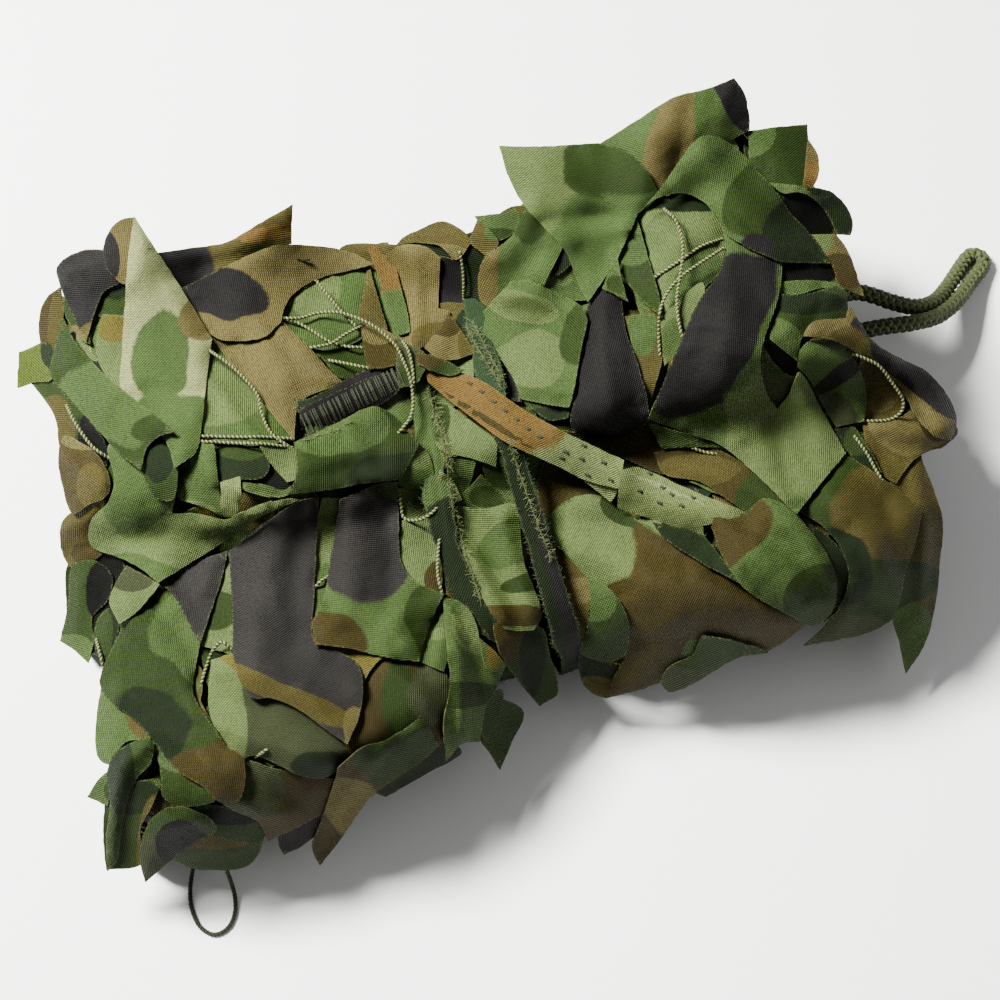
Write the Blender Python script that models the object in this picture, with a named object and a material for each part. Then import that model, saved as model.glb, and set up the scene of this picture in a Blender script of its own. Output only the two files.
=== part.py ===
"""A leaf-cut garnish net, folded back and forth into a bundle and tied round its waist with tape.

X runs along the bundle, Y across it from front to back and Z up. The origin is on the surface
that the bundle lies on, under its middle. Sizes are in millimetres until a mesh is made.
"""

import math

import bmesh
import bpy
from mathutils import Vector
from mathutils.geometry import convex_hull_2d

MM = 0.001

# The folded net: six thicknesses of garnished net, the upper two over the back half only.
LAYERS = 6
FULL_LAYERS = 4
LAYER = 12.8
LAYER_GAP = 1.6
NOMINAL_HALF_WIDTH = 80.0
NOMINAL_CREASE = -8.0
HALF_RUN_STEPS = 3
TURN_STEPS = 6
END_STEPS = 3
PLUMPNESS = 0.11

# One row for each cross-section along the bundle: x at mid width, the front and back edges, the
# tops of the front and back halves, the crease between them, how far the tie lifts the underside,
# and how thick each layer is beside its full thickness.
SECTION_COLUMNS = "x front back front_top back_top crease lift fullness".split()
SECTIONS = [
    (-136, -58, 62, 42, 56, 27, 0.0, 0.42),
    (-131, -70, 76, 49, 68, 25, 0.0, 0.80),
    (-118, -81, 86, 55, 75, 19, 0.0, 1.00),
    (-97, -86, 85, 59, 79, 9, 0.0, 1.00),
    (-72, -85, 79, 61, 78, 0, 0.0, 1.00),
    (-48, -81, 72, 59, 75, -6, 0.0, 1.00),
    (-28, -75, 65, 55, 70, -9, 2.6, 1.00),
    (-10, -69, 60, 52, 66, -11, 3.8, 1.00),
    (7, -70, 60, 52, 68, -13, 3.8, 1.00),
    (24, -77, 63, 56, 73, -12, 2.6, 1.00),
    (45, -85, 67, 60, 85, -17, 0.0, 1.00),
    (70, -88, 69, 63, 92, -23, 0.0, 1.00),
    (95, -87, 65, 61, 90, -26, 0.0, 1.00),
    (117, -80, 56, 56, 81, -26, 0.0, 1.00),
    (132, -69, 45, 49, 70, -22, 0.0, 0.80),
    (138, -57, 33, 42, 58, -18, 0.0, 0.42),
]
LEFT_END_LEAN = 0.22
RIGHT_END_LEAN = -0.12
LEAN_STARTS = 60.0

# Tongues of the leaf-cut cloth that stand clear of the bundle: root, middle and tip of the centre
# line, the width at the widest, how blunt the tip is, and the way that the cloth faces.
LEAF_THICKNESS = 1.1
LEAF_STEPS = 7
LEAF_COLUMNS = "root middle tip width blunt faces".split()
LEAVES = {
    "square_end": ((-104, 50, 40), (-122, 73, 50), (-129, 83, 46), 17, 0.9, (-0.3, -0.3, 1)),
    "left_peak": ((-76, 46, 66), (-79, 74, 86), (-83, 92, 97), 26, 0.2, (0.5, -0.8, 0.4)),
    "back_spike": ((-64, 54, 64), (-43, 78, 83), (-31, 84, 89), 24, 0.0, (0, -0.7, 0.7)),
    "broad": ((48, 16, 78), (41, 50, 97), (32, 71, 101), 52, 0.6, (0.1, -0.5, 1)),
    "right_peak": ((68, 22, 76), (92, 48, 101), (111, 62, 107), 36, 0.4, (0, -0.8, 0.6)),
    "back_curl": ((92, 22, 76), (113, 33, 93), (127, 40, 90), 30, 0.9, (0, -0.4, 1)),
    "rolled_back": ((100, 12, 70), (123, 22, 84), (133, 18, 78), 24, 0.8, (0.3, -0.2, 1)),
    "right_lip": ((106, 6, 50), (125, 4, 65), (135, -3, 57), 26, 0.5, (0.3, -0.2, 1)),
    "rolled_right": ((104, -20, 52), (127, -37, 59), (139, -50, 53), 38, 0.8, (0.5, -0.2, 1)),
    "right_fall": ((100, -48, 46), (122, -67, 44), (120, -85, 34), 34, 0.6, (0.6, -0.6, 0.6)),
    "right_spike": ((112, -66, 34), (114, -94, 20), (105, -105, 6), 22, 0.0, (0.7, -0.7, 0.3)),
    "front_spike": ((-27, -62, 24), (-29.5, -78, 12), (-31, -85, 4), 13, 0.0, (0, -1, 0.3)),
    "front_tongue": ((-58, -70, 24), (-78, -86, 14), (-94, -95, 4), 24, 0.3, (0, -0.9, 0.6)),
    "front_stub": ((-84, -76, 18), (-97, -87, 9), (-104, -89, 4), 16, 0.3, (0, -1, 0.5)),
    "front_curl": ((-108, -66, 26), (-130, -73, 16), (-143, -80, 4), 34, 0.1, (-0.3, -0.8, 0.6)),
    "left_tail": ((-124, -38, 38), (-141, -54, 22), (-155, -71, 4), 22, 0.1, (-0.7, -0.5, 0.5)),
    "left_stub": ((-128, -44, 30), (-143, -50, 20), (-153, -51, 14), 20, 0.3, (-0.5, -0.5, 0.7)),
    "left_low": ((-118, -8, 44), (-135, -6, 42), (-146, -8, 33), 24, 0.5, (-0.5, -0.2, 0.9)),
    "left_middle": ((-106, 30, 39), (-122, 48, 51), (-128, 56, 45), 24, 0.7, (-0.5, -0.2, 0.9)),
    "left_roll": ((-98, 60, 52), (-114, 84, 66), (-120, 94, 59), 24, 0.6, (-0.6, -0.3, 0.8)),
    "back_left": ((-90, 68, 36), (-98, 92, 32), (-104, 104.5, 14), 34, 0.2, (-0.2, 0.6, 0.8)),
    "back_mid": ((-46, 54, 37), (-50, 84, 41), (-58, 98, 18), 36, 0.5, (0, 0.7, 0.8)),
    "back_low": ((30, 54, 22), (34, 74, 14), (42, 86, 4), 28, 0.2, (0.1, 0.9, 0.5)),
    "back_right": ((62, 58, 52), (70, 82, 48), (80, 96, 28), 38, 0.4, (0.2, 0.7, 0.7)),
    "right_low": ((112, 22, 24), (138, 34, 21), (154.2, 39, 8), 30, 0.3, (0.8, 0.4, 0.5)),
}

# The tie: one tape, folded double and sewn, wound twice round the waist and knotted on top.
TAPE_THICKNESS = 1.5
TAPE_CLEARANCE = 1.0
WRAP_STEP = 1.2
LEFT_WRAP = {"bottom_x": -12, "top_x": -13, "width": 8.0, "tilt": 3.0}
RIGHT_WRAP = {"bottom_x": 10, "top_x": 5, "width": 10.0, "tilt": 6.0}
KNOT_CENTRE = (-13, 19, 75)
KNOT_SIZE = (17, 14, 9)
KNOT_TURNS = ((1.0, 0.62, 0.86, 35), (0.66, 1.0, 1.0, -20))
LONG_END = {
    "route": ((-13, 19, 75), (3, -4, 76), (17, -19, 78.5), (32, -36, 71.5), (47, -50, 68.5), (62, -61, 67.5)),
    "width": 10.0,
    "fork_depth": 7.0,
}
SHORT_END = {
    "route": ((-13, 19, 75.5), (-26, 19.5, 77.5), (-42, 17.5, 80.5), (-55, 16, 82)),
    "width": 12.0,
    "fork_depth": 0.0,
}

# The edge rope stands out of the right end as a loop, its two legs lying side by side.
ROPE_DIAMETER = 5.2
ROPE_LOOP = (
    (137.9, 13.3, 39.3), (143, 13, 37), (150, 11.8, 32.4), (159, 10.5, 25.5), (168, 13, 18.5),
    (177, 19, 11.5), (185, 25.5, 6.8), (191.5, 30.4, 3.9), (195.6, 32.2, 2.9), (198.6, 30.6, 2.8),
    (198.8, 27.2, 2.8), (196, 23.8, 3.5), (190, 18.6, 6.3), (182.4, 12.6, 10.9), (173.8, 6.8, 16.4),
    (164, 2.4, 22.4), (153, 0.4, 28.6), (144, 0.6, 32.6), (139.4, 1, 34.3),
)

# A corner twine of the net hangs out at the lower left and lies on the surface as a loop.
TWINE_DIAMETER = 1.6
CORNER_LOOP = (
    (-121, -85.1, 14), (-120.5, -87.6, 9.5), (-120.4, -90.5, 4.5), (-120.8, -94, 1.6), (-122.6, -98.5, 0.9),
    (-126, -101.8, 0.9), (-130.4, -102.2, 0.9), (-133.6, -98.4, 0.9), (-134.2, -92.6, 0.9),
    (-133, -86.8, 1.2), (-131, -82.6, 2.4), (-129.4, -80.2, 4.2),
)

CLOTH_GREEN = (0.115, 0.165, 0.055)
TAPE_GREEN = (0.20, 0.22, 0.09)
ROPE_GREEN = (0.055, 0.085, 0.03)
TWINE_GREEN = (0.19, 0.21, 0.10)


def clear_scene():
    for old in list(bpy.data.objects):
        bpy.data.objects.remove(old)


def finish(name, colour, roughness):
    """A Principled material with one colour."""
    material = bpy.data.materials.new(name)
    material.use_nodes = True
    shader = material.node_tree.nodes["Principled BSDF"]
    shader.inputs["Base Color"].default_value = (*colour, 1.0)
    shader.inputs["Roughness"].default_value = roughness
    shader.inputs["Metallic"].default_value = 0.0
    return material


def solid(name, points, faces, material):
    """A closed mesh object from points in millimetres, its faces turned outwards."""
    mesh = bpy.data.meshes.new(name)
    mesh.from_pydata([Vector(p) * MM for p in points], [], faces)
    shape = bmesh.new()
    shape.from_mesh(mesh)
    bmesh.ops.triangulate(shape, faces=[face for face in shape.faces if len(face.verts) > 3])
    bmesh.ops.recalc_face_normals(shape, faces=shape.faces[:])
    shape.to_mesh(mesh)
    shape.free()
    mesh.materials.append(material)
    made = bpy.data.objects.new(name, mesh)
    bpy.context.scene.collection.objects.link(made)
    return made


def loft(name, rings, material, capped=True):
    """Rings of equal length skinned one to the next, with flat ends, or joined round if not capped.

    Every diagonal leans the same way across the object, so that two skins a small gap apart match.
    """
    count = len(rings[0])
    points = [p for ring in rings for p in ring]
    spans = len(rings) - 1 if capped else len(rings)
    faces = []
    for i in range(spans):
        here, there = i * count, (i + 1) % len(rings) * count
        for j in range(count):
            k = (j + 1) % count
            a, b, c, d = here + j, here + k, there + k, there + j
            if points[a].y < points[b].y:
                faces += [(a, b, c), (a, c, d)]
            else:
                faces += [(a, b, d), (b, c, d)]
    if capped:
        faces.append(tuple(reversed(range(count))))
        faces.append(tuple(range(len(points) - count, len(points))))
    return solid(name, points, faces, material)


def join_solids(target, others):
    """Unites other solids with the target, and removes them."""
    for other in others:
        union = target.modifiers.new("union_" + other.name, "BOOLEAN")
        union.operation = "UNION"
        union.solver = "EXACT"
        union.object = other
        bpy.context.view_layer.objects.active = target
        bpy.ops.object.modifier_apply(modifier=union.name)
        bpy.data.objects.remove(other)


def smooth_path(points, steps):
    """A smooth curve through the points, with this many steps between each two."""
    ends = [Vector(p) for p in points]
    ends = [2 * ends[0] - ends[1], *ends, 2 * ends[-1] - ends[-2]]
    path = []
    for a, b, c, d in zip(ends, ends[1:], ends[2:], ends[3:]):
        for i in range(steps):
            t = i / steps
            path.append(
                0.5 * (2 * b + (c - a) * t + (2 * a - 5 * b + 4 * c - d) * t**2
                       + (3 * b - a - 3 * c + d) * t**3)
            )
    return [*path, ends[-2]]


def between(value, low, high):
    """How far value has come from low to high, eased, from 0 to 1."""
    share = min(1.0, max(0.0, (value - low) / (high - low)))
    return share * share * (3 - 2 * share)


def fold_line():
    """The middle line of the folded net in its nominal section, as (y, z, left-hand normal)."""
    pitch = LAYER + LAYER_GAP
    radius = pitch / 2
    back = NOMINAL_HALF_WIDTH - LAYER
    middle = NOMINAL_CREASE + LAYER / 2
    back_run = [middle + (back - middle) * i / HALF_RUN_STEPS for i in range(HALF_RUN_STEPS + 1)]
    front_run = [middle - (back + middle) * i / HALF_RUN_STEPS for i in range(1, HALF_RUN_STEPS + 1)]
    line = []
    heading = -1.0
    for layer in range(LAYERS):
        height = LAYER / 2 + layer * pitch
        run = front_run[::-1] + back_run if layer < FULL_LAYERS else back_run
        if heading < 0:
            run = run[::-1]
        line += [(y, height, (0.0, heading)) for y in run]
        if layer < LAYERS - 1:
            for i in range(1, TURN_STEPS):
                angle = math.pi * i / TURN_STEPS
                y = run[-1] + heading * radius * math.sin(angle)
                z = height + radius - radius * math.cos(angle)
                line.append((y, z, (-math.sin(angle), heading * math.cos(angle))))
        heading = -heading
    return line


def nominal_outline(fullness):
    """The closed outline of the folded net's section, with rounded free ends."""
    line = fold_line()
    half = LAYER / 2 * fullness
    left = [(y + n[0] * half, z + n[1] * half) for y, z, n in line]
    right = [(y - n[0] * half, z - n[1] * half) for y, z, n in line]

    def round_end(at, outward):
        y, z, n = line[at]
        cap = []
        for i in range(1, END_STEPS):
            angle = math.pi * i / END_STEPS
            along = outward * half * math.sin(angle)
            across = half * math.cos(angle)
            cap.append((y + along, z + n[1] * across))
        return cap

    far_end = round_end(-1, 1.0 if LAYERS % 2 == 0 else -1.0)
    near_end = round_end(0, 1.0)
    return left + far_end + right[::-1] + near_end[::-1]


def placed(y, z, row):
    """A nominal section point, moved to where the bundle's own section has it."""
    if y < NOMINAL_CREASE:
        share = (y + NOMINAL_HALF_WIDTH) / (NOMINAL_CREASE + NOMINAL_HALF_WIDTH)
        across = row["front"] + share * (row["crease"] - row["front"])
    else:
        share = (y - NOMINAL_CREASE) / (NOMINAL_HALF_WIDTH - NOMINAL_CREASE)
        across = row["crease"] + share * (row["back"] - row["crease"])
    pitch = LAYER + LAYER_GAP
    front_stack = FULL_LAYERS * pitch - LAYER_GAP / 2
    whole_stack = LAYERS * pitch - LAYER_GAP
    if z < front_stack:
        up = row["front_top"] * z / front_stack
    else:
        share = (z - front_stack) / (whole_stack - front_stack)
        up = row["front_top"] + share * (row["back_top"] - row["front_top"])
    # The stack is plumper in the middle than at its edges, and its folds are uneven.
    side = abs(y) / NOMINAL_HALF_WIDTH
    up *= 1.0 + PLUMPNESS * (0.35 - side**3)
    level = up / row["back_top"]
    x = row["x"]
    across += level * (2.4 * math.sin(x / 17 + up / 23) + 1.6 * math.sin(x / 11 + up / 17))
    up += level * (1.5 * math.sin(x / 15 + across / 27) + 0.7 * math.sin(x / 12 - across / 31))
    up = row["lift"] + up * (1 - row["lift"] / row["back_top"])
    lean = LEFT_END_LEAN if x < 0 else RIGHT_END_LEAN
    along = x + lean * across * between(abs(x), LEAN_STARTS, -SECTIONS[0][0])
    return Vector((along, across, up))


def section_ring(row):
    """The bundle's outline at one cross-section, its underside flat on one level."""
    ring = [placed(y, z, row) for y, z in nominal_outline(row["fullness"])]
    for point in ring[:2 * HALF_RUN_STEPS + 1]:
        point.z = row["lift"]
    return ring


def section_rings():
    return [section_ring(dict(zip(SECTION_COLUMNS, values))) for values in SECTIONS]


def bundle(material):
    """The net folded back and forth in six thicknesses, with the tongues that stand clear of it."""
    body = loft("net_bundle", section_rings(), material)
    leaves = [leaf(name, dict(zip(LEAF_COLUMNS, row)), material) for name, row in LEAVES.items()]
    join_solids(body, leaves)
    return body


def leaf(name, row, material):
    """One pointed or blunt tongue of cloth along a curve, widest near its middle."""
    path = smooth_path((row["root"], row["middle"], row["tip"]), LEAF_STEPS // 2 + 1)
    faces = Vector(row["faces"]).normalized()
    rings = []
    for i, at in enumerate(path):
        ahead = path[min(i + 1, len(path) - 1)] - path[max(i - 1, 0)]
        across = ahead.cross(faces).normalized()
        lift = across.cross(ahead).normalized() * (LEAF_THICKNESS / 2)
        share = i / (len(path) - 1)
        swell = math.sin(math.pi * (0.28 + 0.5 * share))
        point = row["blunt"] + (1 - row["blunt"]) * (1 - share**2.2)
        half = across * max(0.9, row["width"] / 2 * swell * point)
        rings.append([at - half - lift, at - lift * 1.3, at + half - lift,
                      at + half + lift, at + lift * 1.3, at - half + lift])
    return loft(name, rings, material)


def wrap(name, sizes, material):
    """One turn of the tie tape round the waist, drawn tight over the folds."""
    centre = (sizes["bottom_x"] + sizes["top_x"]) / 2
    half_reach = abs(sizes["top_x"] - sizes["bottom_x"]) / 2 + abs(sizes["tilt"]) + 0.6 * sizes["width"]
    places = [row[0] for row in SECTIONS]
    outline = []
    for low, high, low_ring, high_ring in zip(places, places[1:], section_rings(), section_rings()[1:]):
        for x in (centre - half_reach, centre + half_reach, low, high):
            if low <= x <= high and abs(x - centre) <= half_reach:
                share = (x - low) / (high - low)
                outline += [a.lerp(b, share).yz for a, b in zip(low_ring, high_ring)]
    outline = [outline[i] for i in convex_hull_2d(outline)]
    outline = [p for p, before in zip(outline, outline[-1:] + outline) if (p - before).length > WRAP_STEP]
    middle = sum(outline, Vector((0, 0))) / len(outline)
    rings = []
    for before, at, after in zip(outline[-1:] + outline, outline, outline[1:] + outline[:1]):
        along = (after - before).normalized()
        out = Vector((along.y, -along.x))
        if out.dot(at - middle) < 0:
            out = -out
        way = (at - middle).normalized()
        x = centre + (sizes["top_x"] - sizes["bottom_x"]) / 2 * way.y + sizes["tilt"] * way.x
        inner = at + out * TAPE_CLEARANCE
        outer = at + out * (TAPE_CLEARANCE + TAPE_THICKNESS)
        angle = math.atan2(way.y, way.x)
        half = sizes["width"] / 2 * (1 + 0.14 * math.sin(3 * angle + sizes["tilt"]))
        rings.append([
            Vector((x - half, *inner)), Vector((x + half, *inner)),
            Vector((x + half, *outer)), Vector((x - half, *outer)),
        ])
    return loft(name, rings, material, capped=False)


def tape_end(name, sizes, material):
    """A free end of the tape from the knot, flat or notched like a swallow's tail."""
    path = smooth_path(sizes["route"], 3)
    rings = []
    for i, at in enumerate(path):
        ahead = (path[min(i + 1, len(path) - 1)] - path[max(i - 1, 0)]).normalized()
        across = ahead.cross(Vector((0, 0, 1))).normalized()
        up = across.cross(ahead) * (TAPE_THICKNESS / 2)
        share = min(1.0, 0.55 + 0.45 * i / 4)
        half = across * sizes["width"] / 2 * share
        notch = ahead * (sizes["fork_depth"] if i == len(path) - 1 else 0.0)
        rings.append([at - half - up, at - up - notch, at + half - up,
                      at + half + up, at + up - notch, at - half + up])
    return loft(name, rings, material)


def knot_turn(name, shares, material):
    """One turn of the knot: a flattened, rounded lump of tape."""
    bpy.ops.mesh.primitive_uv_sphere_add(segments=16, ring_count=10, radius=0.5 * MM)
    lump = bpy.context.object
    lump.name = name
    lump.data.name = name
    turn = math.radians(shares[3])
    for vertex in lump.data.vertices:
        x, y, z = (c * size * share for c, size, share in zip(vertex.co, KNOT_SIZE, shares))
        vertex.co = (
            x * math.cos(turn) - y * math.sin(turn) + KNOT_CENTRE[0] * MM,
            x * math.sin(turn) + y * math.cos(turn) + KNOT_CENTRE[1] * MM,
            z + KNOT_CENTRE[2] * MM,
        )
    lump.data.materials.append(material)
    return lump


def tie(material):
    """The whole tie tape as one piece: two turns, the knot and both free ends."""
    tape = wrap("tie_tape", LEFT_WRAP, material)
    more = [wrap("right_wrap", RIGHT_WRAP, material)]
    more += [knot_turn(f"knot_turn_{i}", shares, material) for i, shares in enumerate(KNOT_TURNS)]
    more += [tape_end("long_end", LONG_END, material), tape_end("short_end", SHORT_END, material)]
    join_solids(tape, more)
    return tape


def cord(name, route, diameter, steps, sides, material):
    """A round cord along a smooth route, as a curve with closed ends."""
    path = smooth_path(route, steps)
    line = bpy.data.curves.new(name, "CURVE")
    line.dimensions = "3D"
    line.bevel_depth = diameter / 2 * MM
    line.bevel_resolution = sides
    line.use_fill_caps = True
    line.materials.append(material)
    spline = line.splines.new("POLY")
    spline.points.add(len(path) - 1)
    for point, at in zip(spline.points, path):
        point.co = (*(at * MM), 1.0)
    made = bpy.data.objects.new(name, line)
    bpy.context.scene.collection.objects.link(made)
    return made


def main():
    clear_scene()
    cloth = finish("printed_cloth", CLOTH_GREEN, 0.75)
    tape = finish("sewn_tape", TAPE_GREEN, 0.8)
    rope = finish("braided_rope", ROPE_GREEN, 0.9)
    twine = finish("net_twine", TWINE_GREEN, 0.85)
    bundle(cloth)
    tie(tape)
    cord("edge_rope_loop", ROPE_LOOP, ROPE_DIAMETER, 3, 3, rope)
    cord("corner_loop", CORNER_LOOP, TWINE_DIAMETER, 3, 2, twine)


main()
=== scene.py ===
"""The looks of a folded camouflage net: its leaf-cut printed cloth, twine, tie tape and edge rope.

Lengths are in metres unless a name says otherwise. Leaves and twines are laid out in the camera's
frame, 1000 across with x to the right and y down, and carried onto the folded bundle a stated
height above it.
"""

import math
import re

import bpy
import numpy as np
from mathutils import Matrix, Vector, noise
from mathutils.bvhtree import BVHTree
from mathutils.geometry import delaunay_2d_cdt


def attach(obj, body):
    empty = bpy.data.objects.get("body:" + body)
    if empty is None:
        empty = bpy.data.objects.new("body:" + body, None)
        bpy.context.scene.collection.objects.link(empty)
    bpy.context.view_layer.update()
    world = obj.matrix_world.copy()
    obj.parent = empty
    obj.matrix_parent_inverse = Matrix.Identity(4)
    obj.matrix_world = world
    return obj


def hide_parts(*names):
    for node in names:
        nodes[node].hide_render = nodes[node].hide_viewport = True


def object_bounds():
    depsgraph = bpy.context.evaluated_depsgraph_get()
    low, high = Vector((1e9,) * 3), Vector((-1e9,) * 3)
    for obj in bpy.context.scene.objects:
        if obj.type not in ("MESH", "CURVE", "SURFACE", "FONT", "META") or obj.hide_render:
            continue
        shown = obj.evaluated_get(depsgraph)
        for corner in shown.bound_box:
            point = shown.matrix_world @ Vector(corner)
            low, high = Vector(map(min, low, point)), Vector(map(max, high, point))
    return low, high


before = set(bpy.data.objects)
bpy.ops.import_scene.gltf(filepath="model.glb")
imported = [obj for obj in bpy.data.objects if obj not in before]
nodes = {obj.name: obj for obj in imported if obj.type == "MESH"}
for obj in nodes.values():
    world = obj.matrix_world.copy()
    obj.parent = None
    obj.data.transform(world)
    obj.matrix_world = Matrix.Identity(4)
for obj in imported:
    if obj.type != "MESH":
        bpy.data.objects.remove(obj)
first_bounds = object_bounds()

MM = 0.001
BODY = "root"

# The camera: over the front left corner, looking down along its own line of sight.
CAMERA_AZIMUTH = -22.0
CAMERA_ELEVATION = 62.0
CAMERA_DISTANCE = 0.80
CAMERA_LENS = 90.0
CAMERA_SENSOR = 36.0
CAMERA_TARGET = (0.0, 0.0, 0.035)
TARGET_PLACE = (486.0, 468.0)
CAMERA_VIEW = (CAMERA_AZIMUTH, CAMERA_ELEVATION, CAMERA_TARGET, TARGET_PLACE)
FRAME_WIDE = 1000.0
MIDDLE = FRAME_WIDE / 2
FOCAL = CAMERA_LENS / CAMERA_SENSOR * FRAME_WIDE
PLACES_PER_METRE = FOCAL / CAMERA_DISTANCE

# The cloth's thickness, and the mesh that fills a leaf: points nearer than the same place are one,
# and only what is inside its outline stays. Steps, sizes and reaches without a unit are in places
# of the frame.
CLOTH = 0.32 * MM
EDGE_STEP = 5.0
EDGE_JAG = 0.20
EDGE_ROOM = 0.7 * EDGE_STEP
INNER_STEP = 6.5
INNER_JAG = 0.12 * INNER_STEP
ROW_SHARE = 0.866
FEWEST_TRIANGLES = 4
SAME_PLACE = 1e-4
INSIDE_ONLY = 1

# How high a leaf lies: off what is below it, by its level, and with the hills of the whole bundle.
BASE_LIFT = 1.3 * MM
CLEAR = 0.55 * MM
LEAST_CLEAR = 0.8 * CLEAR
LEVEL = 1.7 * MM
LIFT_STEP = 0.12 * MM
HILL_RISE = 0.9 * MM
HILL_SIZE = 60.0
LOWEST_FRONT = 0.35 * MM
LOWEST_BACK = 0.03 * MM

# How a leaf swells, folds, curls at its edge and is creased. A raised point fades over its reach.
CROWN = 1.35
SWELL_REACH = 20.0
RAISED_REACH = 60.0
FOLD_DEPTH = 0.5 * MM
FOLD_SIZE = 17.0
FOLD_STRETCH = 0.38
FOLD_SHARPNESS = 4
FOLD_LEAST = 0.3
FOLD_SEED = 5
CURL_RISE = 1.0 * MM
CURL_SIZE = 24.0
CURL_REACH = 9.0
CURL_SEED = 9
CREASE_RISE = 1.5 * MM
CREASE_FADE = 5.0
CREASE_LEAST = 0.35
RIM_REACH = 40.0
NO_BLOT = -3.0

# What sets one leaf's folds and weave apart from the next one's.
TAGS = 977
TAG_STEP = 1.7
TAG_SHIFT = np.array((0.013, 0.007))

# How cloth spans the bundle's pits and droops past its edges, as slopes, and spans the leaves below.
STEEPEST = 1.15
DROOP = 0.85
DEPTH_SMOOTHING = 2
SPAN_ROUNDS = 10
SPAN_SLACK = 0.995

# Printed cloth colours, as reflectances, with a painted deep shade and a painted sheen on black among them,
# each marked below.
TONES = {
    "pale": (0.1180, 0.1330, 0.0540),
    "light": (0.0450, 0.0640, 0.0200),
    "green": (0.0245, 0.0420, 0.0110),
    "mid": (0.0098, 0.0180, 0.0035),
    "dark": (0.0042, 0.0078, 0.0022),
    "olive": (0.0300, 0.0255, 0.0062),
    "tan": (0.0510, 0.0430, 0.0140),
    "brown": (0.0190, 0.0150, 0.0036),
    "orange": (0.0600, 0.0370, 0.0090),
    "yellow": (0.0520, 0.0450, 0.0080),
    "teal": (0.0100, 0.0210, 0.0080),
    "grey": (0.0170, 0.0210, 0.0085),
    "black": (0.0060, 0.0056, 0.0053),
    # The next tone is painted deep shade: a near-black darker than any ink of the print, for the sheets and
    # blots where the cloth lies in deep shade between and under the leaves, such as pocket, left_deep,
    # hole_dark, tube_gap and dark_band.
    "gap": (0.0009, 0.0012, 0.0006),
    "leek": (0.0740, 0.0960, 0.0330),
    "lime": (0.0310, 0.0440, 0.0060),
    # The next tone is black cloth painted lighter: a painted satin sheen for the black leaves that lie in the
    # light, black_left, black_right and black_two.
    "coal": (0.0115, 0.0109, 0.0098),
}
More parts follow.
